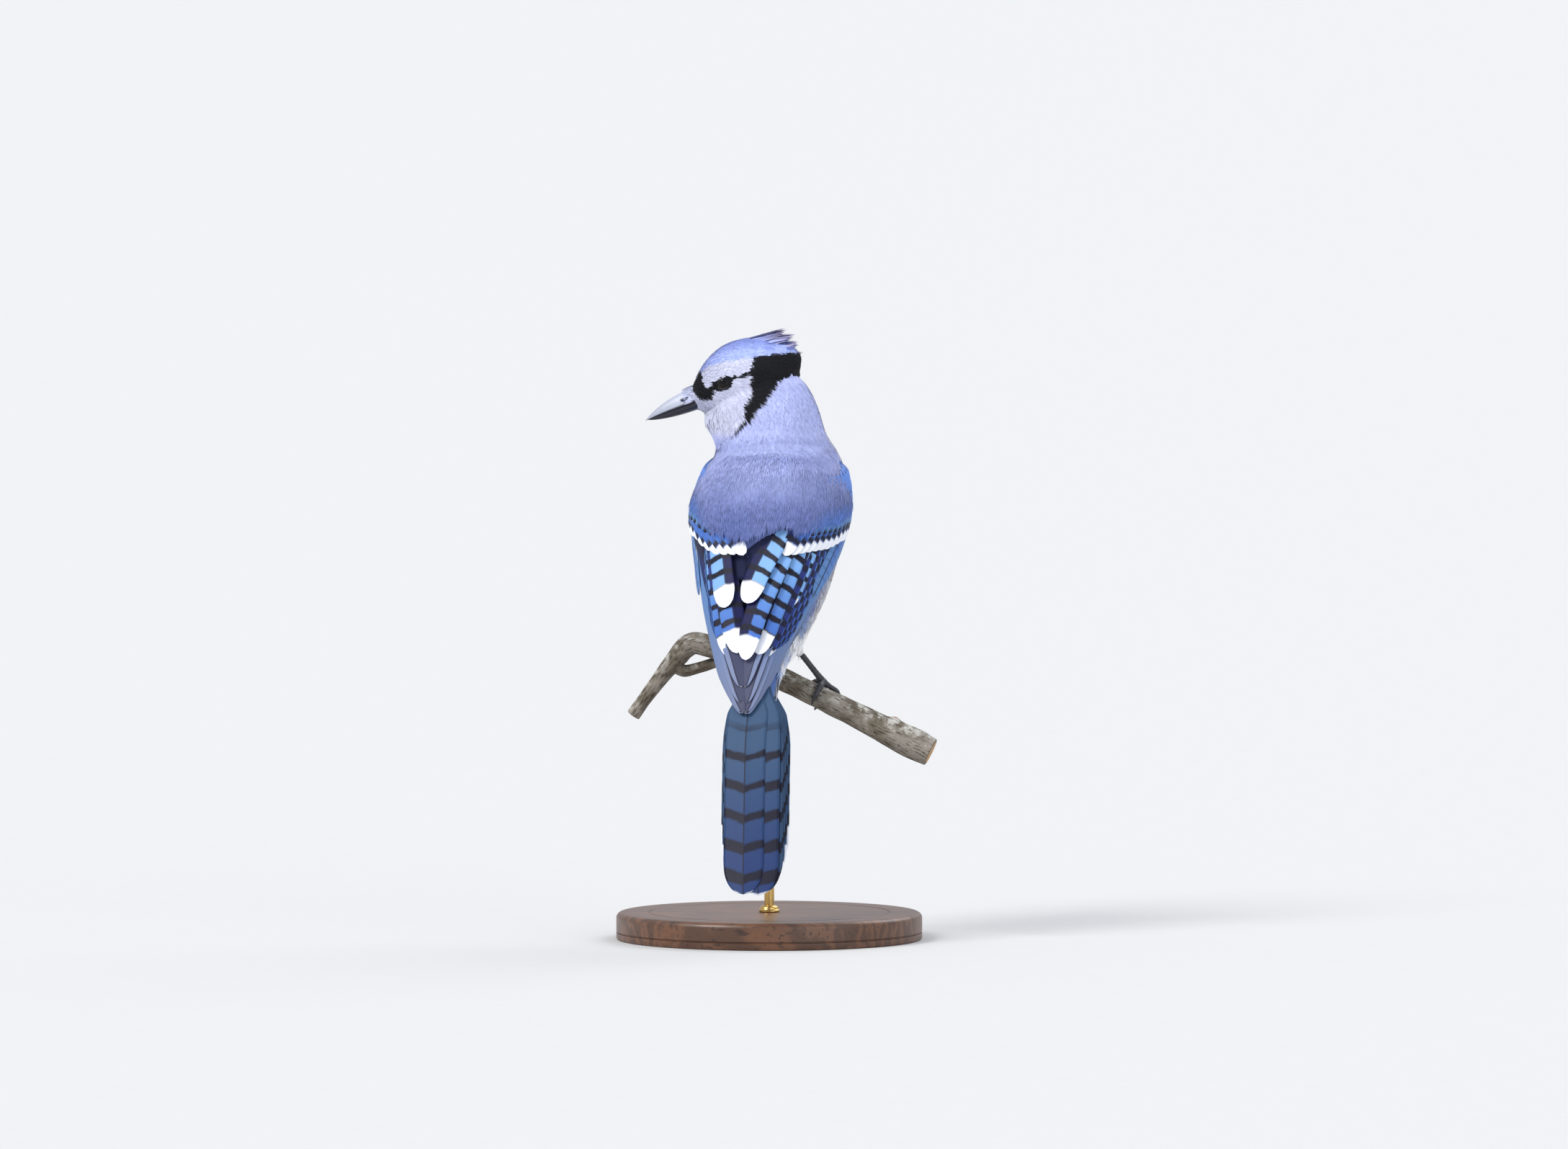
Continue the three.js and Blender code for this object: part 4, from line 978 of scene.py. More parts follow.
def past_lids(at):
    """0 on the eye's lids, where the coat is short and flat, and 1 a little away from them."""
    f, _, u = from_head(at)
    return band(np.hypot((f - EYE_F) / 3.6, (u - EYE_U) / 3.0), 1.0, 2.0)


def mantle_top(at):
    """Height at which the neck's feathers give way to the mantle's."""
    return 218 + 2.0 * ripple(at, 9.0, 21)


def crest(soft):
    """Long plumes that run back from the crown and gather into a few points."""
    ranks, files = 24, 13
    rows = np.repeat(np.linspace(0, 1, ranks), files)
    side = np.tile(np.linspace(-1, 1, files), ranks) + chance.normal(0, 0.04, len(rows))
    f0, u0, spread = along(CREST_ROOTS, rows).T
    f0 = f0 + chance.normal(0, 0.9, len(rows))
    tuft = np.searchsorted(CREST_TUFTS[1:, 0], rows, side="right")
    tuft = np.minimum(tuft, len(CREST_TUFTS) - 2)
    start, end = CREST_TUFTS[tuft, 0], CREST_TUFTS[tuft + 1, 0]
    across = 2 * (rows - start) / (end - start) - 1
    short = np.clip(0.35 * np.abs(across) + 0.35 * np.abs(side) + chance.uniform(0, 0.5, len(rows)), 0, 1)
    root = in_head(f0, side * spread, u0 - side ** 2 * spread * 0.24 - 0.2)
    tip = in_head(CREST_TUFTS[tuft, 1] + 5.0 * short, side * spread * 0.30,
                  CREST_TUFTS[tuft, 2] - 1.8 * short - 0.6 * across - side ** 2 * 1.8)
    ahead = unit(tip - root)
    length = np.linalg.norm(tip - root, axis=1)
    up = unit(root - in_head(-8.0, 0.0, 3.0))
    out = unit(up - ahead * dot(up, ahead)[:, None])
    half = 1.5 * chance.uniform(0.85, 1.1, len(rows))
    shade = chance.choice(3, len(rows), p=(0.58, 0.28, 0.14))
    low = band(rows + chance.normal(0, 0.03, len(rows)), 0.74, 0.82)
    colours = paint(np.array([CROWN, CREST_MID, CREST_DEEP])[shade], COLLAR, low)
    tips = paint(np.array([CREST_TIP, CREST_MID, CREST_DEEP])[shade], CREST_DARK, low)
    unwrap = np.stack([0.5 + side * 0.22, 0.1 + 0.8 * rows], -1)
    drop = chance.normal(0.1, 0.3, len(rows))
    thing = feather_piece("crest_feathers", root, out, ahead, length, half, barbs=13, colours=colours,
                          unwrap=unwrap, drop=drop, lift=0.3, looseness=0.03, spread=(11, 2), tips=tips)
    return finish_piece(thing, soft)


def coat():
    """Skin, and the small feathers of head, neck and body; gives the skin's search tree and the finish."""
    skin = make_skin()
    skin_at = points_of(skin)
    # The skin takes the coat's markings a tenth darker: painted shade under the feathers.
    set_colour(skin, "plumage", markings(skin_at) * 0.9)
    skin_turn = np.arctan2(skin_at[:, 0] + 2, skin_at[:, 1]) / (2 * math.pi) + 0.5
    set_map(skin, np.stack([skin_turn, (skin_at[:, 2] - 80) / 200], -1))
    tree = surface_tree(skin)
    soft = plumage_finish()
    finish_piece(skin, soft, ("head", "neck", "torso", "thigh_left", "thigh_right"))
    covers = [wing_surface(side) for side in (1, -1)]

    def dress(name, places, point_at, reach, size, barbs, slot, keep, lift, **style):
        at, out, kept = settle(tree, point_at(places[:, 0], places[:, 1]), reach)
        places = places[kept]
        chosen = keep(at, out)
        at, out, places = at[chosen], out[chosen], places[chosen]
        ahead = lie_of_coat(at, out)
        ahead = unit(ahead + chance.normal(0, 0.06, len(at))[:, None] * np.cross(out, ahead))
        length, half = size(at)
        length = length * chance.uniform(0.9, 1.1, len(at))
        half = half * chance.uniform(0.94, 1.06, len(at))
        wander = chance.normal(0, 0.22, (len(at), 3))
        colours = markings(at + ahead * (length * 0.62)[:, None] + out * 0.5 + wander)
        drop = drop_to(tree, at, out, ahead, length)
        thing = feather_piece(name, at, out, ahead, length, half, barbs, colours, round_unwrap(places), drop,
                              lift(at) if callable(lift) else lift, **style)
        return finish_piece(thing, soft)

    def head_size(at):
        near_bill = band(from_head(at)[0], 2, 17)
        length = mix(5.4, 2.2, near_bill) * mix(0.55, 1.0, past_lids(at))
        return length, mix(0.78, 0.42, near_bill)

    def neck_size(at):
        high = band(at[:, 2], 206, 238)
        return mix(8.0, 6.0, high), mix(2.0, 1.3, high)

    def body_size(at):
        low = band(200 - at[:, 2], 0, 40)
        ending = band(at[:, 2], 92, 118)
        return mix(5.0, mix(7.5, 10.5, low), ending), mix(1.6, mix(2.2, 2.6, low), ending)

    def head_lift(at):
        return mix(0.1, 0.36, past_lids(at))

    def visible_body(at, out):
        z = at[:, 2]
        rump = (z < 122) & (out[:, 1] < -0.1)
        by_tail = (z < 108) & (dot(at - TAIL_ROOT, TAIL_OUT) > -5.0)
        return ~covered_by(covers, at, out, 12) & ~rump & ~by_tail

    skin_of_head = lambda s, a: head_point(s, a, -HEAD_COAT)
    skin_of_body = lambda s, a: body_point(s, a, -BODY_COAT)
    above = lambda at: from_head(at)[2] > 3.5
    near = lambda at: (from_head(at)[2] > -24) & (at[:, 2] > 226) & clear_of_face(at)
    def on_neck(at, out):
        lowest = mix(mantle_top(at), 212, band(out[:, 1], 0.0, 0.4))
        return clear_of_face(at) & (at[:, 2] > lowest)

    on_head = dict(reach=3.2, size=head_size, barbs=4, slot="crown_plumage", lift=head_lift, looseness=0.035,
                   spread=(26, 4))
    on_body = dict(reach=1.4, size=body_size, barbs=8, slot="body_plumage", keep=visible_body, spread=(24, 4))
    dress("crown_feathers", tract(head_point, 0.02, 0.985, 0.76), skin_of_head,
          keep=lambda at, _: near(at) & above(at), **on_head)
    dress("cheek_feathers", tract(head_point, 0.02, 0.985, 0.72), skin_of_head,
          keep=lambda at, _: near(at) & ~above(at), **on_head)
    dress("neck_feathers", tract(body_point, 0.535, 0.97, 1.12), skin_of_body, reach=3.4, size=neck_size,
          barbs=6, slot="nape_plumage", keep=on_neck, lift=0.55, looseness=0.03, spread=(19, 3))
    dress("breast_feathers", tract(body_point, 0.42, 0.64, 1.75), skin_of_body,
          lift=0.8, looseness=0.06, **on_body)
    dress("belly_feathers", tract(body_point, 0.02, 0.42, 1.8), skin_of_body,
          lift=lambda at: mix(0.4, 0.9, band(at[:, 2], 95, 120)), looseness=0.07, **on_body)
    return tree, soft


def mantle_bed(share, angle):
    """Height over the sheet on which the mantle's feathers lie."""
    aside = np.clip(np.abs(angle) / 92, 0, 1) ** 4
    return mix(read(MANTLE_BED, share), read(MANTLE_BED, share, 2), aside)


def mantle_feathers(tree, soft):
    """The mantle's shingled feathers, which end over the wings along the hem."""
    length_share, row_gap, gap, outmost = 0.056, 0.0118, 1.75, 98
    turn = np.linspace(-outmost, outmost, 60)
    rows = []
    for k, share in enumerate(np.arange(-0.04, 0.45, row_gap)):
        wide = np.linalg.norm(np.diff(sheet_point(np.full(len(turn), share), turn), axis=0), axis=1).sum()
        count = int(wide / gap)
        x = (np.arange(count) + 0.5 * (k % 2) + 0.25 + chance.uniform(-0.25, 0.25, count)) / count
        rows.append(np.stack([share + chance.uniform(-0.004, 0.004, count), mix(-outmost, outmost, x)], -1))
    share, angle = np.concatenate(rows).T
    inside = share < read(MANTLE_HEM, angle) + chance.normal(0, 0.003, len(share))
    share, angle = share[inside], angle[inside]
    before = share - length_share
    root, out = on_sheet(before, angle, mantle_bed(before, angle))
    tip, _ = on_sheet(share, angle, mantle_bed(share, angle))
    root = outermost(tree, root, out)
    tip = outermost(tree, tip, out)
    for i, place in enumerate(root * MM):
        _, normal, _, _ = tree.find_nearest(Vector(place), 8 * MM)
        if normal is not None:
            out[i] = mix(np.array(normal), out[i], float(band(share[i], 0.06, 0.2)))
    out = unit(out)
    lower = root[:, 2] < mantle_top(root) + 3
    root, out, tip, share, angle = root[lower], out[lower], tip[lower], share[lower], angle[lower]
    away = tip - root
    drop = dot(away, out)
    away = away - out * drop[:, None]
    ahead = unit(away)
    ahead = unit(ahead + chance.normal(0, 0.05, len(root))[:, None] * np.cross(out, ahead))
    length = np.clip(np.linalg.norm(away, axis=1), 5.5, 9.0) * chance.uniform(0.92, 1.08, len(root))
    half = mix(1.8, 2.6, band(share, -0.04, 0.3)) * chance.uniform(0.94, 1.06, len(root))
    colours = mantle_colours(share, angle, root + ahead * 5)
    unwrap = np.stack([0.5 + angle / 200, 0.95 - 0.9 * (share + 0.13) / 0.62], -1)
    lift = mix(0.7, 0.6, band(share, 0.28, 0.40))
    thing = feather_piece("mantle_feathers", root, out, ahead, length, half, barbs=9, colours=colours,
                          unwrap=unwrap, drop=drop, lift=lift, looseness=0.05, spread=(22, 4))
    return finish_piece(thing, soft)


def mantle_colours(share, angle, points):
    """The back's colours, brighter blue towards the shoulders."""
    base = body_markings(points)
    wander = ripple(points, 9.0, 5)
    past_hem = share - read(MANTLE_HEM, angle)
    blue = band(past_hem + 0.02 * wander, -0.09, 0.0) * band(np.abs(angle), 38, 60)
    return paint(base, SHOULDER, 0.7 * blue)


# Wings


def wing_surface(side):
    """A search tree of the folded wing's underside, for leaving out what it hides."""
    rows, columns = 40, 24
    share, x = np.meshgrid(np.linspace(0.03, 1.0, rows), np.linspace(0, 1, columns), indexing="ij")
    inner = np.where(share < 0.4, mix(70, 24, ease((share - 0.05) / 0.35)), 0)
    at, _ = on_sheet(share, side * mix(92, inner, x), -2.0)
    corners = [Vector(p) for p in at.reshape(-1, 3) * MM]
    return BVHTree.FromPolygons(corners, [tuple(int(i) for i in quad) for quad in quads_of(rows, columns)])


def vane_outline(v, tip_start, wide_from):
    body = 0.5 + 0.5 * ease(v / wide_from)
    past = np.clip((v - tip_start) / (1 - tip_start), 0, 1)
    return body * np.sqrt(np.maximum(1 - past ** 2.4, 0.0))


def vane_arrays(line, half, thick, flip, seed, shaft=0.0, tip_start=0.76, wide_from=0.4, camber=0.012,
                rows=44, ragged=0.02):
    """Points, faces and finish values of one vane: line gives places, ways across and ways out by share."""
    v = 1 - (1 - np.linspace(0, 1, rows)) ** 1.15
    at, across, out = line(v)
    width = half * vane_outline(v, tip_start, wide_from)
    width = width * (1 + ragged * ripple(np.stack([v * 60, 0 * v, 0 * v], -1), 2.0, seed))
    width = np.maximum(width, 0.12)
    edges = np.array([-1, -0.86, -0.66, -0.42, -0.2, -0.05, 0.05, 0.2, 0.42, 0.66, 0.86, 1.0])
    edges = np.where(edges < 0, -1 + (edges + 1) * (1 + shaft), 1 - (1 - edges) * (1 - shaft))
    span = edges[None, :] * width[:, None]
    deep = (thick * (1 - 0.35 * v) / 2)[:, None]
    shaft_at = shaft * width[:, None]
    ridge = 0.28 * (1 - 0.7 * v)[:, None] * (np.abs(span - shaft_at) < 0.12 * width[:, None])
    place = at[:, None] + across[:, None] * span[..., None] - out[:, None] * (camber * span ** 2)[..., None]
    thin = deep * (1 - 0.6 * np.abs(edges)[None, :] ** 3)
    top = place + out[:, None] * (thin + ridge)[..., None]
    bottom = place - out[:, None] * thin[..., None]
    points, faces = slab_mesh(top, bottom)
    run = run_of(at)
    from_tip = np.broadcast_to((run[-1] - run)[:, None], span.shape)
    to_edge = width[:, None] - np.abs(span)
    outer_edge = np.where(span * flip < 0, to_edge, 9.0)
    values = {
        "from_tip": from_tip, "from_shaft": (span - shaft_at) * flip, "to_edge": outer_edge,
        "u": (edges[None, :] + 1) / 2 + 0 * span, "v": np.broadcast_to((run / run[-1])[:, None], span.shape),
    }
    return points, faces, {k: np.tile(x.reshape(-1), 2) for k, x in values.items()}


def vane_piece(name, vanes, finish, replaces=()):
    """Joins vanes into one piece; each has its own cell on the map and its own pattern values."""
    points, faces, start = [], [], 0
    values = {k: [] for k in ("from_tip", "from_shaft", "to_edge", "bar_gap", "bar_width", "bar_shift",
                              "bar_bow", "bar_strength", "white_tip", "rim_width")}
    colours = {k: [] for k in ("web_outer", "web_inner", "rim")}
    places = []
    columns = math.ceil(math.sqrt(len(vanes) * 3))
    rows = math.ceil(len(vanes) / columns)
    for k, (arrays, look) in enumerate(vanes):
        p, f, local = arrays
        points.append(p)
        faces.append(f + start)
        start += len(p)
        for key in values:
            values[key].append(local[key] if key in local else np.full(len(p), look[key], float))
        for key in colours:
            root, end = (look[key] if np.ndim(look[key]) == 2 else (look[key], look[key]))
            colours[key].append(mix(np.array(root), np.array(end), ease(local["v"] * 1.3 - 0.25)[:, None]))
        cell = np.array([k % columns, k // columns])
        under = np.repeat([0.0, 0.5], len(p) // 2)
        u = (cell[0] + 0.04 + 0.44 * local["u"] + 0.48 * under / 0.5) / columns
        w = (cell[1] + 0.04 + 0.92 * local["v"]) / rows
        places.append(np.stack([u, w], -1))
    thing = new_mesh(name, np.concatenate(points), np.concatenate(faces))
    for key, parts in values.items():
        set_value(thing, key, np.concatenate(parts))
    for key, parts in colours.items():
        set_colour(thing, key, np.concatenate(parts))
    set_map(thing, np.concatenate(places))
    return finish_piece(thing, finish, replaces)


def wing_line(side, start, end, half, lift, tilt, sink=1.4, over=0.0):
    """A line of places on the sheet from root to tip, leaning like a shingle; over lifts its free part."""
    lean = math.radians(tilt) * side
    centre = -half * math.sin(abs(lean))

    def place(v):
        v = np.asarray(v, float)
        angle = side * mix(start[1], end[1], ease(v) * 0.5 + v * 0.5)
        height = centre + mix(-sink, lift, ease(v / 0.45)) + over * ease(v / 0.5)
        return on_sheet(mix(start[0], end[0], v), angle, height)

    def line(v):
        at, out = place(v)
        ahead = unit(place(np.minimum(v + 0.02, 1))[0] - place(v - 0.02)[0])
        flat = unit(np.cross(out, ahead))
        across = unit(flat * math.cos(lean) + out * math.sin(lean))
        return at, across, unit(np.cross(ahead, across))

    return line


PLAIN = dict(bar_gap=7.0, bar_width=0.17, bar_shift=0.0, bar_bow=0.2, bar_strength=1.0, white_tip=0.0,
             rim_width=0.0, web_outer=WING_LIGHT, web_inner=WING_DUSK, rim=WING_LIGHT)
ONE_BAR = 30  # a gap so long that a covert shows a single bar


def look(**changes):
    return {**PLAIN, **changes}


def flight_feathers(side):
    """Vanes from the outermost primary to the innermost tertial, as (arrays, look).

    The right wing's inner feathers lie over the left one's, so their places differ from side to side.
    """
    made = []
    for i, tip in enumerate([0.75, 0.86, 0.935, 0.975, 1.0, 0.985, 0.95, 0.9]):
        x = i / 7
        end = (tip, mix(88, 4 if side > 0 else 8, x ** 0.8))
        dressed = look(web_outer=(WING_AZURE, PRIMARY_EDGE), web_inner=(WING_DUSK, PRIMARY_GREY),
                       rim=(WING_AZURE, PRIMARY_EDGE), rim_width=mix(2.0, 0.7, x), bar_strength=0.0)
        made.append(((mix(0.3, 0.36, x), mix(95, 74, x)), end, mix(3.4, 4.4, x), dressed, -0.45, 0.0))
    outer = 68 if side > 0 else 47
    for i in range(5):
        x = i / 4
        end = (mix(0.73, 0.79, x), mix(outer - 7, 40 if side > 0 else 30, x))
        dressed = look(web_outer=(WING_NAVY, WING_NAVY), web_inner=WING_DARK, white_tip=mix(0.0, 3.5, x),
                       bar_gap=6.8, bar_width=0.24, bar_shift=1.5 * i, bar_strength=0.9,
                       rim=(WING_AZURE, WING_BLUE), rim_width=mix(0.9, 0.3, x))
        start = (mix(0.32, 0.28, x), mix(outer, 50 if side > 0 else 42, x))
        made.append((start, end, 4.6, dressed, -0.35, 0.0))
    short = look(web_outer=WING_LIGHT, web_inner=WING_DARK, white_tip=6.5, bar_gap=6.9, bar_width=0.17,
                 bar_shift=1.2)
    if side > 0:
        made.append(((0.30, 52), (0.612, 48), 4.4, short, -0.2, 0.0))
        inner = [((0.30, 42), (0.79, 26), 5.6), ((0.31, 34), (0.815, 4), 5.6), ((0.32, 24), (0.622, 1), 6.0)]
    else:
        inner = [((0.30, 44), (0.80, 26), 5.4), ((0.31, 38), (0.79, 12), 5.4), ((0.32, 34), (0.632, 25), 5.4)]
    for i, (start, end, half) in enumerate(inner):
        dressed = look(web_outer=(WING_LIGHT, WING_BLUE) if i < 2 else WING_LIGHT, web_inner=WING_DARK,
                       white_tip=[11.0, 11.5, 10.5][i], bar_gap=7.6, bar_width=0.175,
                       bar_shift=[1.0, 4.0, 2.0][i])
        made.append((start, end, half, dressed, 0.12 * i, 0.9 if side > 0 else (0.0, 0.0, 0.5)[i]))
    vanes = []
    for i, (start, end, half, dressed, shaft, over) in enumerate(made):
        level = -0.3 - 0.14 * (len(made) - 1 - i) * float(ease(end[0]))
        top_most = i == len(made) - 1
        line = wing_line(side, start, end, half, level, 5 if top_most and side < 0 else 19, over=over)
        arrays = vane_arrays(line, half, 0.45, shaft=-shaft * side, flip=-side,
                             seed=i + (20 if side > 0 else 0))
        vanes.append((arrays, dressed))
    return vanes


def bar_tip(side, angle):
    """Share at which the white bar of the greater coverts ends, by angle round the back."""
    if side > 0:
        return float(np.interp(angle, [28, 34, 54, 68, 84, 100], [0.462, 0.455, 0.42, 0.395, 0.35, 0.32]))
    return float(np.interp(angle, [5, 13, 30, 45, 58, 90], [0.472, 0.468, 0.46, 0.425, 0.378, 0.31]))


def covert_feathers(side):
    """Vanes of the bastard wing, primary, greater, median and lesser coverts, as (arrays, look)."""
    made = []
    for i in range(6):
        x = i / 5
        start, end = (mix(0.15, 0.24, x), mix(98, 88, x)), (mix(0.42, 0.54, x), mix(95, 78, x))
        made.append((start, end, 3.4, 0.0, look(
            web_outer=(WING_BLUE, WING_AZURE), web_inner=WING_AZURE, bar_gap=4.2, bar_width=0.13,
            bar_strength=0.22, rim=WING_AZURE, rim_width=0.6)))
    inmost = 29 if side > 0 else 7
    for i in range(12):
        x = i / 11
        angle = mix(97, inmost, x)
        tip = bar_tip(side, angle)
        made.append(((tip - 0.17, mix(92, 42, x)), (tip, angle), 3.4, 0.5, look(
            web_outer=WING_BLUE, web_inner=WING_NAVY, bar_gap=ONE_BAR, bar_width=0.055, bar_shift=6.6,
            white_tip=6.6)))
    for i in range(10):
        x = i / 9
        angle = mix(95, 46 if side > 0 else 36, x)
        tip = bar_tip(side, angle) - 0.052
        made.append(((tip - 0.13, angle + 3), (tip, angle), 3.0, 0.8, look(
            web_outer=WING_AZURE, web_inner=WING_BLUE, bar_gap=ONE_BAR, bar_width=0.055, bar_shift=13.5)))
    for row in range(4):
        for i in range(8):
            x = (i + 0.5 * (row % 2)) / 8
            angle = mix(94, 58 - 3 * row, x)
            tip = bar_tip(side, angle) - 0.095 - 0.045 * row
            made.append(((tip - 0.09, angle + 2), (tip, angle), 2.5, 0.95, look(
                web_outer=SHOULDER, web_inner=SHOULDER, bar_strength=0.5 if row == 0 else 0.0,
                bar_gap=ONE_BAR, bar_width=0.05, bar_shift=13.8)))
    vanes = []
    for i, (start, end, half, lift, dressed) in enumerate(made):
        line = wing_line(side, start, end, half, lift, 12, 0.9)
        arrays = vane_arrays(line, half, 0.4, flip=-side, rows=22, tip_start=0.7,
                             seed=i + (60 if side > 0 else 80))
        vanes.append((arrays, dressed))
    return vanes


def wing_core(side):
    """The arm under the wing feathers."""
    rows, columns = 40, 20
    share, x = np.meshgrid(np.linspace(0.05, 0.54, rows), np.linspace(0, 1, columns), indexing="ij")
    middle = -8 if side > 0 else 4
    inner = np.where(share < 0.4, mix(78, 24, ease((share - 0.05) / 0.35)), middle)
    swell = np.sin(math.pi * np.clip(0.1 + x, 0, 0.5))
    angle = side * mix(99, inner, x)
    top, _ = on_sheet(share, angle, mix(-2.9, -1.7, swell) - 1.6 * ease((share - 0.36) / 0.14))
    bottom, _ = on_sheet(share, angle, mix(-3.8, -4.6, swell))
    return slab_mesh(top, bottom)


def wings():
    finish = vane_finish()
    for side, word in ((1, "right"), (-1, "left")):
        vanes = flight_feathers(side) + covert_feathers(side)
        vane_piece(f"wing_feathers_{word}", vanes, finish, (f"wing_{word}",))
        core = new_mesh(f"wing_arm_{word}", *wing_core(side))
        # The arm is coloured at six tenths of the dusky blue: painted shade under the wing feathers.
        set_colour(core, "plumage", np.tile(np.array(WING_DUSK) * 0.6, (len(core.data.vertices), 1)))
        finish_piece(core, bpy.data.materials["soft_plumage"])


# Tail

TAIL_ROOT = np.array([1.4, -34.6, 114.0])
TAIL_TIP = np.array([8.8, -77.0, 24.6])
TAIL_DOWN = TAIL_TIP - TAIL_ROOT
TAIL_OUT = unit(np.array([0, TAIL_DOWN[2], -TAIL_DOWN[1]]))
# From the middle pair outwards: sideways place of the left and right feather, length as a share, half width
RECTRICES = [
    (-3.6, 2.9, 1.0, 9.0), (-4.2, 4.4, 0.985, 8.6), (-4.8, 5.0, 0.96, 8.4),
    (-5.3, 5.7, 0.925, 8.2), (-6.3, 6.6, 0.885, 8.0), (-7.3, 7.5, 0.83, 7.8),
]
TAIL_STEP = 0.62  # between one feather and the next below it
# Tail blues, set darker than the feathers' own blue: painted shade that falls on the tail. The blue deepens
# from root to tip.
TAIL_SHADED_BLUE = (0.19, 0.30, 0.43)
TAIL_SHADED_DEEP = (0.09, 0.19, 0.39)


def tail():
    vanes = []
    for pair, (left, right, share, half) in enumerate(RECTRICES):
        for k, sideways in enumerate((left, right)):
            level = TAIL_STEP * (len(RECTRICES) - 1.6 - (pair * 2 + k))

            def line(v, sideways=sideways, level=level, share=share):
                at = (TAIL_ROOT + TAIL_DOWN * (v * share)[:, None]
                      + X_AXIS * (sideways * mix(0.6, 1, ease(v * 3)))[:, None]
                      + TAIL_OUT * (level * mix(0.85, 1, np.clip(v * 3, 0, 1)) + 3.2 * v * (1 - v))[:, None])
                return at, np.broadcast_to(X_AXIS, at.shape), np.broadcast_to(TAIL_OUT, at.shape)

            hand = -1 if k == 0 else 1
            white = 0.0 if pair < 3 else mix(8, 16, (pair - 3) / 2)
            arrays = vane_arrays(line, half, 0.6, shaft=0.0 if pair == 0 else 0.25 * hand, tip_start=0.84,
                                 wide_from=0.15, camber=0.004, rows=90, flip=-hand, ragged=0.01,
                                 seed=pair * 2 + k)
            local = arrays[2]
            local["bar_width"] = mix(0.10, 0.185, local["v"]) * np.where(local["from_shaft"] < 0, 1.15, 0.85)
            local["bar_strength"] = band(local["v"], 0.12, 0.3)
            # Painted shade in the tail's blues, deeper towards the tip.
            blue = (TAIL_SHADED_BLUE, TAIL_SHADED_DEEP)
            vanes.append((arrays, look(
                web_outer=blue, web_inner=blue if pair == 0 else WING_DUSK, bar_gap=14.2,
                bar_shift=0.2 + 1.6 * (pair > 0), bar_bow=-0.34, white_tip=white, rim=TAIL_SHADED_BLUE,
                rim_width=1.2 * (pair > 0))))
    vane_piece("tail_feathers", vanes, bpy.data.materials["wing_vanes"], ("tail",))


# Eyes and bill


def turned(name, middle, axis, profile, sides):
    """A lathed mesh: profile gives distance along the axis and radius."""
    axis = unit(np.asarray(axis, float))
    other = unit(np.cross(axis, Z_AXIS if abs(axis[2]) < 0.9 else X_AXIS))
    third = np.cross(axis, other)
    angle = np.linspace(0, 2 * math.pi, sides, endpoint=False)[:, None]
    rings = [middle + axis * h + r * (np.cos(angle) * other + np.sin(angle) * third) for h, r in profile]
    return lofted(name, rings)


def eye_finish():
    """Near-black iris round a black pupil under a clear wet surface."""
    material, shader, bsdf = new_finish("jay_eye", 0.04, Specular_IOR_Level=0.25)
    off_axis = shader.attribute("off_axis")
    iris = shader.ramp(off_axis, 1.55, 1.75)
    white_of = shader.ramp(off_axis, 2.75, 3.0)
    streaks = shader.ramp(shader.noise(900.0, 3.0), 0.35, 0.7)
    brown = shader.blend(streaks, (0.005, 0.003, 0.002, 1), (0.013, 0.007, 0.004, 1))
    colour = shader.blend(iris, (0.002, 0.002, 0.002, 1), brown)
    shader.feed(bsdf.inputs["Base Color"], shader.blend(white_of, colour, (0.004, 0.003, 0.003, 1)))
    return material


def lid_finish():
    material, shader, bsdf = new_finish("eye_lid", 0.5)
    wrinkle = shader.noise(1400.0, 4.0)
    dark = shader.tint((0.006, 0.006, 0.011, 1), shader.calc("MULTIPLY_ADD", wrinkle, 0.5, 0.75))
    shader.feed(bsdf.inputs["Base Color"], dark)
    shader.feed(bsdf.inputs["Normal"], shader.bump(wrinkle, 0.4, 0.0002))
    return material


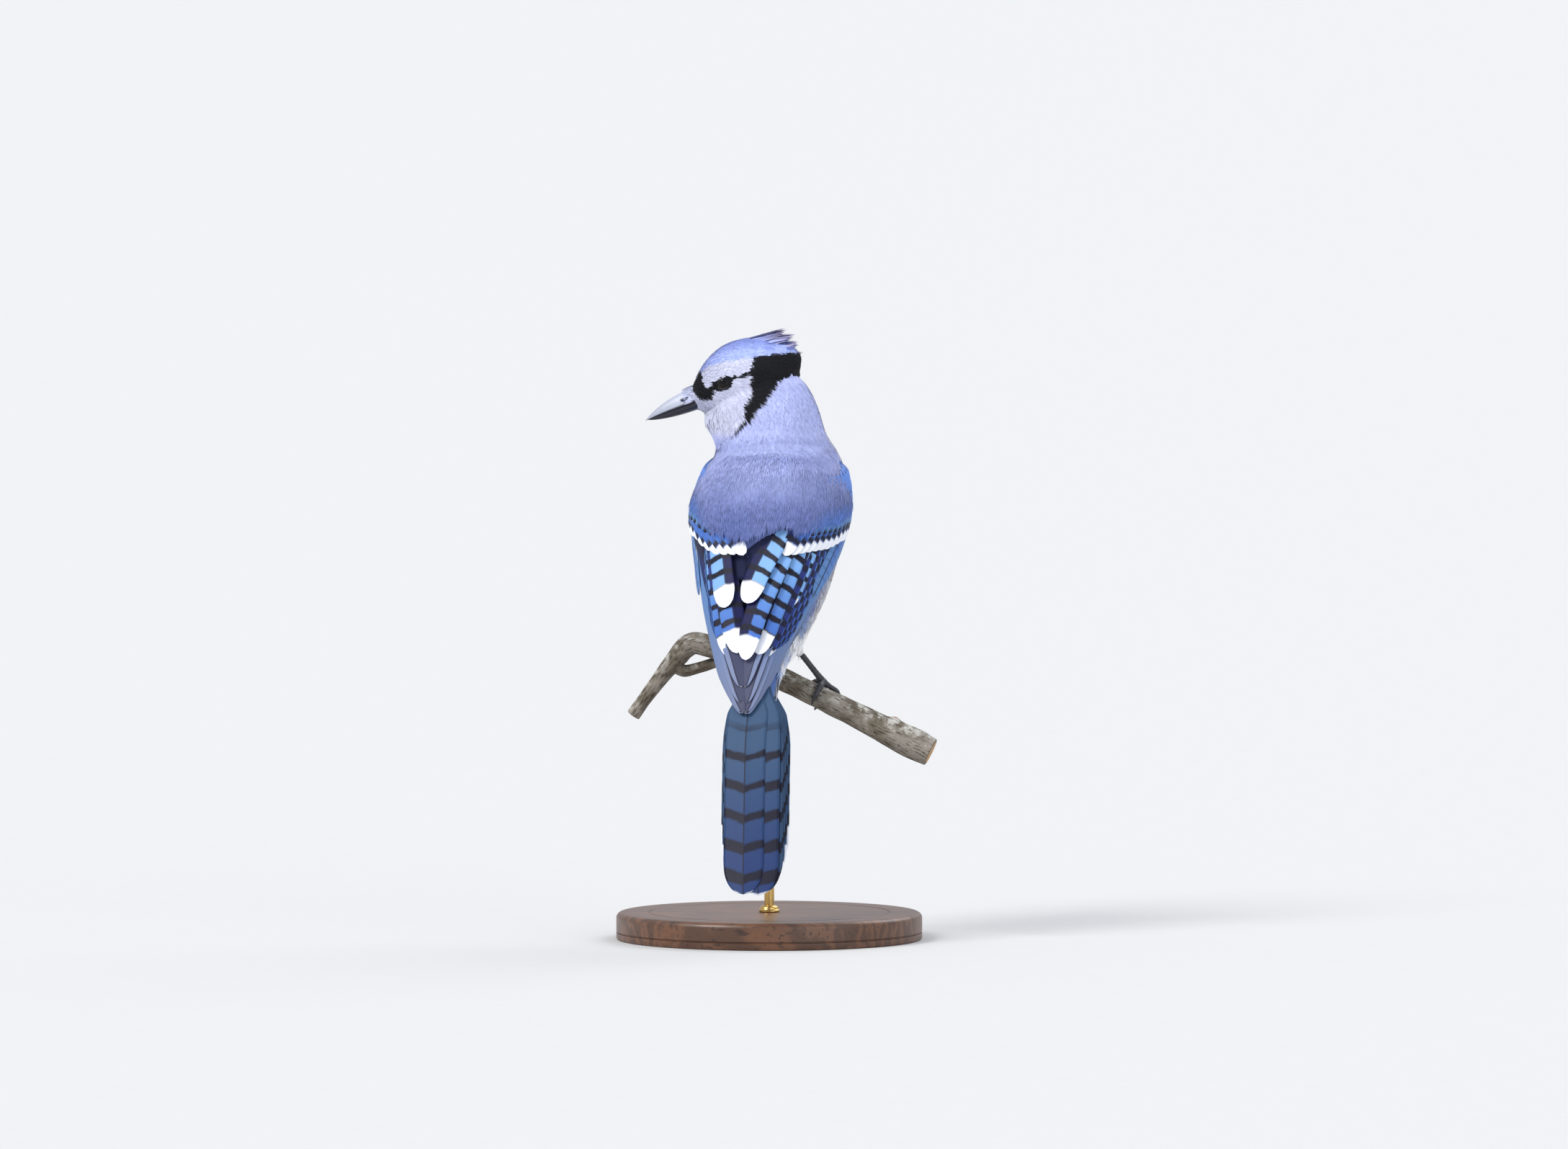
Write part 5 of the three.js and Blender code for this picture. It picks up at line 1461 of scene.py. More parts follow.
def eyes():
    """Glossy eyeballs, each in a ring of lids that is pointed at its corners."""
    ball, lid = eye_finish(), lid_finish()
    for side, word in ((1, "left"), (-1, "right")):
        middle = in_head(EYE_F, side * (EYE_FRONT - EYE_RADIUS), EYE_U)
        facing = side * LEFTWARD
        swing = np.linspace(0.02, math.pi - 0.02, 40)
        profile = [(math.cos(a) * EYE_RADIUS, math.sin(a) * EYE_RADIUS) for a in swing]
        thing = turned(f"eyeball_{word}", middle, facing, profile, 48)
        away = points_of(thing) - middle
        along_axis = away @ facing
        off_axis = np.linalg.norm(away - along_axis[:, None] * facing, axis=1) + 3 * (along_axis < 0)
        set_value(thing, "off_axis", off_axis)
        set_map(thing, 0.5 + 0.1 * np.stack([away @ FORWARD, away[:, 2]], -1))
        finish_piece(thing, ball, (f"eye_{word}",))

        count, sides = 72, 16
        turn = np.linspace(0, 2 * math.pi, count, endpoint=False)
        rim_f = 3.35 * np.sign(np.cos(turn)) * np.abs(np.cos(turn)) ** 1.2
        rim_u = 2.3 * np.sin(turn) * (1 - 0.12 * np.cos(turn) ** 2)
        thick = 0.26 + 0.12 * np.clip(np.sin(turn), 0, 1)
        rim_f, rim_u = rim_f * SLIT_COS + rim_u * SLIT_SIN, rim_u * SLIT_COS - rim_f * SLIT_SIN
        off = np.hypot(rim_f, rim_u)
        rise = EYE_FRONT - EYE_RADIUS + np.sqrt(np.maximum(EYE_RADIUS ** 2 - off ** 2, 1.0))
        ring_at = in_head(EYE_F + rim_f, side * (rise + 0.05), EYE_U + rim_u)
        outwards = unit(in_head(EYE_F + rim_f * 2, side * rise, EYE_U + rim_u * 2) - ring_at)
        around = np.linspace(0, 2 * math.pi, sides, endpoint=False)[None, :, None]
        section = np.cos(around) * outwards[:, None] + np.sin(around) * facing
        tube = ring_at[:, None] + thick[:, None, None] * section
        faces = quads_of(count + 1, sides, closed=True) % (count * sides)
        lids = new_mesh(f"eyelids_{word}", tube, faces if side > 0 else faces[:, ::-1])
        grid_u, grid_v = np.meshgrid(np.arange(sides) / sides, np.arange(count) / count)
        set_map(lids, np.stack([grid_u.ravel(), grid_v.ravel()], -1))
        finish_piece(lids, lid)


UPPER_HEIGHT, LOWER_HEIGHT, BILL_HALF_WIDTH, BILL_DROP = 6.7, 3.3, 4.3, 0.4
BILL_SUNK = 2.2  # how far the horn goes on behind its base
MOUTH_LOW = 0.8  # how far the mouth's line lies under the base's middle
NOSTRIL = dict(along=0.21, rise=0.22, length=2.6, height=1.3, depth=0.8)


def upper_height(share):
    return UPPER_HEIGHT * np.maximum(1 - share ** 2.3, 0) ** 0.9 + 0.35


def bill_half_width(share, at_tip):
    return BILL_HALF_WIDTH * np.maximum(1 - share ** 1.35, 0) ** 0.95 + at_tip


def bill_half(upper, rows=90, columns=41):
    """One mandible: an arched outside over a flat inside."""
    row = np.concatenate([[-0.14, -0.07], np.linspace(0, 1, rows - 2)])
    reach = 1.0 if upper else 0.955
    f = mix(BILL_BASE[0] - BILL_SUNK, BILL_TIP[0], row * reach)
    mouth = mix(BILL_BASE[1] - MOUTH_LOW, BILL_TIP[1], row * reach) - (0.0 if upper else 0.03)
    row = np.maximum(row, 0)
    share = row * reach
    if upper:
        height = upper_height(share)
    else:
        height = -(LOWER_HEIGHT * np.maximum(1 - row ** 2.1, 0) ** 0.85 + 0.35)
    half = bill_half_width(share, 0.3) if upper else bill_half_width(share, 0.12) * 0.965
    hook = -BILL_DROP * share ** 6 if upper else 0 * share
    angle = np.linspace(0, math.pi, columns)
    side = np.cos(angle)[None, :] * half[:, None]
    arch = np.sin(angle)[None, :] ** 0.92
    up = (mouth + hook)[:, None] + arch * height[:, None]
    pit = 0 * side
    if upper:
        nostril_f = mix(BILL_BASE[0], BILL_TIP[0], NOSTRIL["along"])
        nostril_u = mix(BILL_BASE[1], BILL_TIP[1], NOSTRIL["along"]) + UPPER_HEIGHT * NOSTRIL["rise"]
        away = np.hypot((f[:, None] - nostril_f) / (NOSTRIL["length"] / 2),
                        (up - nostril_u) / (NOSTRIL["height"] / 2))
        pit = 1 - band(away, 0.55, 1.1)
        side = side - np.sign(side) * pit * NOSTRIL["depth"]
    inner_side = np.linspace(-1, 1, 13)[None, 1:-1] * half[:, None]
    inner_up = (mouth + hook)[:, None] + 0 * inner_side
    ring_side = np.concatenate([side, inner_side], 1)
    ring_up = np.concatenate([up, inner_up], 1)
    rings = in_head(np.broadcast_to(f[:, None], ring_side.shape), ring_side, ring_up)
    if not upper:
        rings = rings[:, ::-1]
    rise = np.concatenate([np.broadcast_to(arch, side.shape), 0 * inner_side], 1)
    pits = np.concatenate([pit, 0 * inner_side], 1)
    if not upper:
        rise, pits = rise[:, ::-1], pits[:, ::-1]
    shares = np.broadcast_to(share[:, None], rise.shape)
    return rings, rise, pits, shares


def bill_finish():
    """Dark horn with a painted sheen, paler along its ridge and near its base, with faint growth lines."""
    material, shader, bsdf = new_finish("bill_horn", 0.42, Coat_Weight=0.12, Coat_Roughness=0.3)
    rise, share, pit = (shader.attribute(n) for n in ("rise", "share", "pit"))
    mottle = shader.group(MOTTLE, Scale=300.0, Depth=0.22)
    # Painted sheen: the upper mandible's ridge and base are paler, standing in for the glossy horn's
    # reflection.
    pale = shader.calc("MULTIPLY", shader.ramp(rise, 0.05, 0.24), shader.ramp(share, 0.1, 0.97, 1.0, 0.7))
    pale = shader.calc("MULTIPLY", pale, shader.attribute("is_upper"))
    colour = shader.blend(pale, lit((0.085, 0.09, 0.15)), lit((0.71, 0.73, 0.80)))
    # The nostril's pit is painted near black: painted shade inside the opening.
    colour = shader.blend(pit, colour, (0.004, 0.004, 0.006, 1))
    shader.feed(bsdf.inputs["Base Color"], shader.tint(colour, mottle["Tint"]))
    waver = shader.calc("MULTIPLY", mottle["Height"], 6.0)
    lines = shader.calc("SINE", shader.calc("MULTIPLY_ADD", share, 170.0, waver))
    shader.feed(bsdf.inputs["Normal"], shader.bump(lines, 0.03, 0.00003))
    return material


def bill(soft):
    """Two mandibles and the bristly tufts over the nostrils."""
    horn = bill_finish()
    for upper, word in ((True, "upper"), (False, "lower")):
        rings, rise, pits, shares = bill_half(upper)
        thing = lofted(f"bill_{word}_horn", rings)
        ends = [[shares[0].mean()], [shares[-1].mean()]]
        set_value(thing, "rise", np.concatenate([rise.ravel(), [0.5, 0.5]]))
        set_value(thing, "share", np.concatenate([shares.ravel(), *ends]))
        set_value(thing, "pit", np.concatenate([pits.ravel(), [0, 0]]))
        set_value(thing, "is_upper", np.full(len(rise.ravel()) + 2, float(upper)))
        column = np.broadcast_to(np.linspace(0, 1, rings.shape[1])[None, :], shares.shape)
        places = np.stack([column.ravel(), shares.ravel()], -1)
        set_map(thing, np.concatenate([places, [[0.5, 0], [0.5, 1]]]))
        finish_piece(thing, horn, (f"bill_{word}",))
    count = 360
    f = chance.uniform(17.4, 21.2, count)
    turn = chance.uniform(0.10, math.pi - 0.10, count)
    reach = chance.uniform(3.2, 5.0, count) * mix(0.75, 1.0, np.sin(turn))

    def on_bill(f):
        share = np.clip((f - BILL_BASE[0] + BILL_SUNK) / (BILL_TIP[0] - BILL_BASE[0] + BILL_SUNK), 0, 1)
        side = np.cos(turn) * bill_half_width(share, 0.3)
        mouth = mix(BILL_BASE[1] - MOUTH_LOW, BILL_TIP[1], share)
        return in_head(f, side, mouth + np.sin(turn) * upper_height(share)), in_head(f, 0 * f, mouth)

    root, core = on_bill(f)
    aim, _ = on_bill(f + reach)
    ahead = unit(aim - root)
    up = unit(root - core)
    out = unit(up - ahead * dot(up, ahead)[:, None])
    colours = np.tile(np.array(BRISTLE), (count, 1)) * chance.uniform(0.82, 1.06, (count, 1))
    dark = (np.abs(np.sin(turn) - 0.36) < 0.12) & (f > 19.4) & (chance.uniform(0, 1, count) < 0.7)
    colours[dark] = np.array(CREST_DARK) * 1.8
    unwrap = np.stack([0.3 + 0.1 * turn, 0.4 + 0.05 * (f - 17)], -1)
    tuft = feather_piece("nostril_bristles", root, out, ahead, reach, half=0.62 + 0 * reach, barbs=6,
                         colours=colours, unwrap=unwrap, drop=-0.5 + 0 * reach, lift=1.35, looseness=0.05,
                         spread=(16, 3))
    finish_piece(tuft, soft)


# Branch and feet

BRANCH = [
    [73, 1, 84, 6.3],
    [63, 0.5, 88.8, 6.9],
    [50, 0, 95, 5.9],
    [26.6, 0, 106, 5.2],
    [0, 0, 118.6, 5.0],
    [-15, 0, 125.4, 4.8],
    [-28, 0, 130.2, 4.9],
    [-36, -0.5, 130.6, 4.9],
    [-44, -1.5, 122, 4.0],
    [-53, -3, 110, 3.3],
    [-61, -4, 99, 3.1],
]
SHOOT = [
    [-42, -1.5, 120.5, 3.0],
    [-38, 0, 118.8, 2.6],
    [-31, 2, 120.6, 2.4],
    [-24, 4, 123.2, 2.3],
]
# Knots on the branch: share along it, degrees round it, size and height; the first is a fresh scar
KNOTS = [
    (0.13, 8, 2.6, 1.1),
    (0.31, 150, 2.2, 0.6),
    (0.44, 250, 2.0, 0.5),
    (0.70, 60, 3.0, 0.7),
    (0.79, 200, 1.8, 0.6),
]


def bark_finish():
    """Grey bark: long fissures, pale weathered patches, pale lichen spots kept to its upper side as painted
    light from above, and raw wood where a twig broke off.
    """
    material, shader, bsdf = new_finish("branch_bark", 0.88, Specular_IOR_Level=0.3)
    place = shader.node("ShaderNodeCombineXYZ")
    shader.feed(place.inputs[0], shader.calc("MULTIPLY", shader.attribute("run"), 0.22))
    shader.feed(place.inputs[1], shader.attribute("round_x"))
    shader.feed(place.inputs[2], shader.attribute("round_y"))
    fissure = shader.noise(1.15, 6.0, place.outputs[0], 0.6)
    crack = shader.ramp(fissure, 0.36, 0.5, 1.0, 0.0)
    patches = shader.ramp(shader.noise(95.0, 5.0), 0.42, 0.62)
    spots = shader.ramp(shader.noise(260.0, 6.0), 0.46, 0.62)
    # Pale lichen spots on the upper side only: the spots are the bark's own, their lying on top is painted
    # light from above.
    lichen_and_top_light = shader.calc("MULTIPLY", spots, shader.attribute("top_light_share"))
    wood = shader.blend(patches, lit((0.40, 0.37, 0.32)), lit((0.56, 0.53, 0.49)))
    wood = shader.blend(lichen_and_top_light, wood, lit((0.74, 0.73, 0.70)))
    wood = shader.blend(shader.calc("MULTIPLY", crack, 0.75), wood, lit((0.20, 0.17, 0.14)))
    wood = shader.blend(shader.attribute("scar"), wood, lit((0.66, 0.40, 0.22)))
    shader.feed(bsdf.inputs["Base Color"], wood)
    relief = shader.calc("MULTIPLY_ADD", shader.noise(500.0, 4.0), 0.4, fissure)
    shader.feed(bsdf.inputs["Normal"], shader.bump(relief, 0.8, 0.0009))
    return material


def cut_finish():
    """The sawn end: pale wood with growth rings round its pith and a thin dark edge of bark."""
    material, shader, bsdf = new_finish("cut_wood", 0.75)
    radius = shader.attribute("from_pith")
    waver = shader.calc("MULTIPLY", shader.noise(220.0, 3.0), 1.3)
    rings = shader.calc("SINE", shader.calc("MULTIPLY", shader.calc("ADD", radius, waver), 9.5))
    late = shader.ramp(rings, -0.4, 0.9)
    wood = shader.blend(late, lit((0.74, 0.60, 0.42)), lit((0.58, 0.43, 0.28)))
    edge = shader.ramp(shader.attribute("to_bark"), 0.25, 0.6, 1.0, 0.0)
    shader.feed(bsdf.inputs["Base Color"], shader.blend(edge, wood, lit((0.24, 0.18, 0.13))))
    shader.feed(bsdf.inputs["Normal"], shader.bump(rings, 0.25, 0.0002))
    return material


def barked(name, table, rows, sides, bark, knots=(), replaces=()):
    """A stick with fissured, knotty bark over a table of x, y, z and radius; returns its end rings."""
    share = np.linspace(0, 1, rows)
    middle = along(table, share)
    rings = tube_rings(middle[:, :3], np.ones(rows), sides)
    out = rings - middle[:, None, :3]
    angle = np.linspace(0, 360, sides, endpoint=False)[None, :]
    run = run_of(middle[:, :3])[:, None]
    rough = ripple(out * middle[:, None, 3:4] + run[..., None] * 0.2, 2.2, 3) * 0.16
    rough = rough + ripple(middle[:, None, :3] + out * 4, 9.0, 8) * 0.22
    scar = 0 * rough
    for k, (where, turn, size, height) in enumerate(knots):
        off_run = (run - where * run[-1, 0]) / size
        off_turn = np.radians((angle - turn + 180) % 360 - 180) * middle[:, None, 3] / size
        away = np.hypot(off_run, off_turn)
        dent = 0.5 * height * np.exp(-((away - 0.1) ** 2) * 9) * (k > 0)
        rough = rough + height * np.exp(-away ** 2 * 1.2) - dent
        if k == 0:
            scar = np.clip(1.5 * np.exp(-away ** 2 * 3.2) - 0.25, 0, 1)
    radius = middle[:, 3][:, None] + rough
    ends = np.ones(rows)
    ends[[0, -1]] = 0.93
    surface = middle[:, None, :3] + out * (radius * ends[:, None])[..., None]
    thing = lofted(name, surface)
    turn = np.radians(angle)
    stored = {
        "run": run,
        "round_x": np.cos(turn) * middle[:, 3:4],
        "round_y": np.sin(turn) * middle[:, 3:4],
        # How far each point faces up, for the painted light on the branch's top.
        "top_light_share": band(out[..., 2], -0.2, 0.9),
        "scar": scar,
    }
    for key, values in stored.items():
        set_value(thing, key, np.concatenate([np.broadcast_to(values, rough.shape).ravel(), [0.0, 0.0]]))
    grid = np.stack(np.broadcast_arrays(angle / 360, share[:, None]), -1)
    set_map(thing, np.concatenate([grid.reshape(-1, 2), [[0.5, 0], [0.5, 1]]]))
    finish_piece(thing, bark, replaces)
    return surface[0], surface[-1]


def cut_face(name, ring, station, finish):
    """The sawn face of a stick, a little domed, with distances from its pith; station is a row inside it."""
    middle = ring.mean(0)
    way = unit(middle - np.array(station[:3], float))
    rows = np.linspace(1, 0.02, 12)[:, None, None]
    rings = middle + (ring - middle) * rows + way * (0.35 * (1 - rows ** 2) + 0.05)
    thing = lofted(name, rings)
    radius = np.linalg.norm(ring - middle, axis=1).mean()
    from_pith = np.concatenate([np.repeat(rows.ravel(), len(ring)), [0.0, 0.0]]) * radius
    set_value(thing, "from_pith", from_pith)
    set_value(thing, "to_bark", radius - from_pith)
    away = points_of(thing) - middle
    other = unit(np.cross(way, X_AXIS if abs(way[0]) < 0.9 else Z_AXIS))
    set_map(thing, 0.5 + 0.06 * np.stack([away @ other, away @ np.cross(way, other)], -1))
    finish_piece(thing, finish)


def perch():
    bark, cut = bark_finish(), cut_finish()
    first, last = barked("branch_bark", BRANCH, 300, 56, bark, KNOTS, ("branch",))
    cut_face("branch_cut_right", first, BRANCH[1], cut)
    cut_face("branch_cut_left", last[::-1], BRANCH[-2], cut)
    _, end = barked("side_shoot_bark", SHOOT, 70, 30, bark)
    cut_face("side_shoot_cut", end[::-1], SHOOT[-2], cut)


def branch_at(x):
    """The branch's middle, way to the right and radius at an x."""
    shares = np.linspace(0, 1, 401)
    share = shares[np.argmin(np.abs(along(BRANCH, shares)[:, 0] - x))]
    row = along(BRANCH, share)
    way = unit(along(BRANCH, share - 0.01)[:3] - along(BRANCH, share + 0.01)[:3])
    return row[:3], way, row[3]


def round_branch(foot, turn, drift, reach):
    """Places round the branch: degrees from its top towards the tail, then along it, then from its middle."""
    middle, way, _ = branch_at(foot)
    top = unit(Z_AXIS - way * way[2])
    rear = np.cross(top, way)
    rear = rear * (-1 if rear[1] > 0 else 1)
    turn, drift, reach = (np.asarray(q, float)[..., None] for q in (np.radians(turn), drift, reach))
    return middle + way * drift + top * np.cos(turn) * reach + rear * np.sin(turn) * reach


LEGS = {
    "right": dict(side=1, foot=21.5, heel=(11.6, -12, 134.5), cuff=0.56),
    "left": dict(side=-1, foot=-14.0, heel=(-14.5, -5, 150), cuff=0.08),
}
# Toes: turn round the branch, drift along it, radius at root and at tip, turn of the claw
TOES = [
    (84, 0.8, 1.55, 1.2, 56),
    (-104, -6.0, 1.35, 1.05, 36),
    (-128, 1.5, 1.45, 1.1, 40),
    (-84, 9.5, 1.35, 1.05, 36),
]
TOE_GAP = 0.3
TARSUS_RADIUS = 1.3


def scaled_tube(points, radii, plate, seed):
    """Rings of a limb with overlapping plates, and how far each point lies along its plate."""
    step = (run_of(points) / plate) % 1.0
    rings = tube_rings(points, radii, 20)
    out = rings - points[:, None]
    swell = 1 + 0.075 * (step[:, None] - 0.5) + 0.02 * ripple(rings, 1.2, seed)
    return points[:, None] + out * swell[..., None], np.broadcast_to(step[:, None], swell.shape)


def leg_finish():
    """Dark horny plates, paler on each plate and darker in the creases between them, with fine grain."""
    material, shader, bsdf = new_finish("leg_scales", 0.48)
    step = shader.attribute("plate")
    crease = shader.calc("ADD", shader.ramp(step, 0.0, 0.16, 1.0, 0.0), shader.ramp(step, 0.86, 1.0))
    mottle = shader.group(MOTTLE, Scale=500.0, Depth=0.45)
    colour = shader.blend(crease, lit((0.20, 0.20, 0.225)), lit((0.07, 0.07, 0.08)))
    shader.feed(bsdf.inputs["Base Color"], shader.tint(colour, mottle["Tint"]))
    shader.feed(bsdf.inputs["Normal"], shader.bump(mottle["Height"], 0.5, 0.00025))
    return material


def join_tubes(name, tubes, finish, replaces):
    """One piece of capped tubes, each given as rings and its values along the plates."""
    points, faces, triangles, plates, places, start = [], [], [], [], [], 0
    for k, (rings, plate) in enumerate(tubes):
        rows, sides = rings.shape[:2]
        points += [rings.reshape(-1, 3), rings[0].mean(0)[None], rings[-1].mean(0)[None]]
        faces.append(quads_of(rows, sides, closed=True, start=start))
        hub = start + rows * sides
        i = np.arange(sides)
        triangles.append(np.stack([np.full(sides, hub), start + (i + 1) % sides, start + i], -1))
        last = start + (rows - 1) * sides
        triangles.append(np.stack([np.full(sides, hub + 1), last + i, last + (i + 1) % sides], -1))
        plates.append(np.concatenate([np.broadcast_to(plate, (rows, sides)).ravel(), [0.5, 0.5]]))
        v, u = np.meshgrid(np.linspace(0.03, 0.97, rows), np.arange(sides) / sides, indexing="ij")
        cell = np.stack([(k + 0.04 + 0.92 * u.ravel()) / len(tubes), v.ravel()], -1)
        centre = (k + 0.5) / len(tubes)
        places.append(np.concatenate([cell, [[centre, 0.01], [centre, 0.99]]]))
        start = hub + 2
    thing = new_mesh(name, np.concatenate(points), [np.concatenate(faces), np.concatenate(triangles)])
    set_value(thing, "plate", np.concatenate(plates))
    set_map(thing, np.concatenate(places))
    return finish_piece(thing, finish, replaces)


def feet():
    """Scaled legs and toes that grip the branch, and their claws."""
    scales = leg_finish()
    claw_horn, shader, bsdf = new_finish("claw_horn", 0.3, Coat_Weight=0.3, Coat_Roughness=0.2)
    mottle = shader.group(MOTTLE, Scale=600.0, Depth=0.5)
    shader.feed(bsdf.inputs["Base Color"], shader.tint(lit((0.11, 0.105, 0.11)), mottle["Tint"]))
    for word, leg in LEGS.items():
        foot, side = leg["foot"], leg["side"]
        _, way, radius = branch_at(foot)
        clear = radius + TOE_GAP
        limbs, claws = [], []
        for k, (turn, drift, thick, thin, claw) in enumerate(TOES):
            v = np.linspace(0, 1, 61)
            radii = mix(thick, thin, v) * (1 + 0.10 * np.cos(v * 4 * math.pi))
            radii[-3:] *= np.array([0.96, 0.86, 0.62])
            line = round_branch(foot, turn * v, drift * side * np.sin(v * math.pi / 2), clear + radii * 0.94)
            limbs.append(scaled_tube(line, radii, 1.15, k))
            w = np.linspace(0, 1, 24)
            first, last = turn + math.copysign(5.5, turn), turn + math.copysign(claw, turn)
            claw_radii = mix(thin * 0.8, 0.12, w ** 0.85)
            claw_line = round_branch(foot, mix(first - math.copysign(4, turn), last, w), drift * side + 0 * w,
                                     clear + claw_radii + 1.2 * np.sin(math.pi * w) + 0.1)
            claws.append((tube_rings(claw_line, claw_radii, 16), 0.5))
        tread = round_branch(foot, 0, 0, clear + 1.35)
        swing = np.linspace(0.05, math.pi - 0.05, 18)
        palm = tube_rings(tread + way * (np.cos(swing) * -2.3)[:, None], np.sin(swing) * 2.0, 24)
        limbs.append((palm, 0.5))
        ankle = round_branch(foot, 0, 0, clear + 1.6)
        up = np.array(leg["heel"]) - ankle
        v = np.linspace(0, leg["cuff"] + 0.05, 120)
        shape = TARSUS_RADIUS * (1 + 0.35 * (1 - np.clip(v / leg["cuff"], 0, 1)) ** 4)
        limbs.append(scaled_tube(ankle + v[:, None] * up, shape, 1.9, 9))
        join_tubes(f"foot_scales_{word}", limbs, scales, (f"foot_{word}", f"tarsus_{word}"))
        nodes = tuple(f"claw_{word}_{toe}" for toe in ("hind", "inner", "middle", "outer"))
        join_tubes(f"foot_claws_{word}", claws, claw_horn, nodes)


# Stand

STAND_RADIUS, STAND_THICK, STAND_EDGE = 68.0, 12.0, 2.5
ROD_RADIUS, ROD_COLLAR_RADIUS, ROD_COLLAR_HEIGHT = 2.2, 4.6, 3.0
ROD_TOP = 113.0


def turned_wood():
    """Oiled dark hardwood with straight, slightly wandering grain."""
    material, shader, bsdf = new_finish("stand_wood", 0.42, Coat_Weight=0.2, Coat_Roughness=0.3)
    place = shader.node("ShaderNodeMapping")
    shader.feed(place.inputs["Vector"], shader.node("ShaderNodeTexCoord").outputs["Object"])
    place.inputs["Scale"].default_value = (0.10, 1.0, 0.35)
    place.inputs["Rotation"].default_value = (0, 0, 0.2)
    broad = shader.noise(75.0, 3.0, place.outputs[0], 0.5)
    rings = shader.calc("SINE", shader.calc("MULTIPLY", broad, 46.0))
    pores = shader.ramp(shader.noise(1500.0, 2.0, place.outputs[0]), 0.56, 0.68)
    late = shader.ramp(rings, -0.9, 0.9)
    wood = shader.blend(late, lit((0.30, 0.19, 0.12)), lit((0.40, 0.26, 0.17)))
    wood = shader.blend(shader.calc("MULTIPLY", pores, 0.7), wood, lit((0.14, 0.08, 0.05)))
    shader.feed(bsdf.inputs["Base Color"], wood)
    shader.feed(bsdf.inputs["Normal"], shader.bump(pores, -0.3, 0.0002))
    return material


def brass():
    """Drawn brass with fine marks and slight tarnish."""
    material, shader, bsdf = new_finish("stand_brass", 0.3, metallic=1.0)
    mottle = shader.group(MOTTLE, Scale=90.0, Depth=0.3)
    shader.feed(bsdf.inputs["Base Color"], shader.tint(lit((0.80, 0.66, 0.40)), mottle["Tint"]))
    shader.feed(bsdf.inputs["Roughness"], shader.calc("MULTIPLY_ADD", mottle["Height"], 0.3, 0.16))
    return material


def stand():
    """The turned disc with a bead round its edge and a groove in its top, and the rod with its collar."""
    edge = [(STAND_THICK - STAND_EDGE + STAND_EDGE * math.sin(a),
             STAND_RADIUS - STAND_EDGE + STAND_EDGE * math.cos(a)) for a in np.linspace(0, math.pi / 2, 9)]
    side = [(0.0, STAND_RADIUS - 0.8), (0.35, STAND_RADIUS - 0.2), (0.8, STAND_RADIUS), (3.0, STAND_RADIUS),
            (3.25, STAND_RADIUS - 0.55), (3.55, STAND_RADIUS - 0.55), (3.8, STAND_RADIUS)]
    top = [(STAND_THICK, 60.0), (STAND_THICK, 54.0), (STAND_THICK - 0.4, 53.7), (STAND_THICK - 0.4, 53.1),
           (STAND_THICK, 52.8), (STAND_THICK, 30.0), (STAND_THICK, 4.0)]
    disc = turned("stand_disc", np.zeros(3), Z_AXIS, [(0.0, 4.0), *side, *edge, *top], 160)
    place = points_of(disc)
    set_map(disc, 0.5 + place[:, :2] * 0.006 + np.stack([0 * place[:, 2], place[:, 2] * 0.002], -1))
    crease_by_angle(disc)
    finish_piece(disc, turned_wood(), ("stand_base",))
    foot = STAND_THICK + 0.05
    collar = [(foot, 1.0), (foot, ROD_COLLAR_RADIUS - 0.3), (foot + 0.3, ROD_COLLAR_RADIUS),
              (foot + 0.9, ROD_COLLAR_RADIUS), (foot + 1.2, ROD_COLLAR_RADIUS - 0.35),
              (foot + 1.5, ROD_COLLAR_RADIUS - 0.5)]
    collar += [(foot + 1.5 + (ROD_COLLAR_HEIGHT - 1.5) * math.sin(a),
                ROD_RADIUS + (ROD_COLLAR_RADIUS - 0.5 - ROD_RADIUS) * math.cos(a))
               for a in np.linspace(0.2, math.pi / 2, 7)]
    shank = [(60.0, ROD_RADIUS), (ROD_TOP, ROD_RADIUS), (ROD_TOP, 0.4)]
    post = turned("stand_post", np.zeros(3), Z_AXIS, [*collar, *shank], 64)
    place = points_of(post)
    # The rod's top follows the branch's slope and its round underside
    top_ring = place[:, 2] > ROD_TOP - 1
    slope = -0.474 * place[:, 0] + 0.5 * (place[:, 1] / ROD_RADIUS) ** 2
    place[top_ring, 2] += slope[top_ring]
    post.data.vertices.foreach_set("co", (place * MM).astype(np.float32).ravel())
    turn = np.arctan2(place[:, 1], place[:, 0]) / (2 * math.pi) + 0.5
    set_map(post, np.stack([turn, place[:, 2] / 130], -1))
    crease_by_angle(post)
    finish_piece(post, brass(), ("stand_rod",))


def crease_by_angle(thing):
    """Keeps edges crisp where faces meet at more than 32 degrees."""
    thing.data.set_sharp_from_angle(angle=math.radians(32))


# Stage

# The camera round the part's origin, in degrees, and its distance; then the picture's width at the bird and
# the place in its middle
CAMERA_AZIMUTH, CAMERA_ELEVATION = 12, 3
CAMERA_AWAY = 6000
FRAME_WIDTH = 697
AIM_RIGHT, AIM_UP = 6.56, 161.9
SENSOR = 36


def paper():
    """Matt pale paper for the floor."""
    material, shader, bsdf = new_finish("studio_paper", 0.9)
    mottle = shader.group(MOTTLE, Scale=80.0, Depth=0.02)
    shader.feed(bsdf.inputs["Base Color"], shader.tint(lit((0.80, 0.80, 0.80)), mottle["Tint"]))
    return material


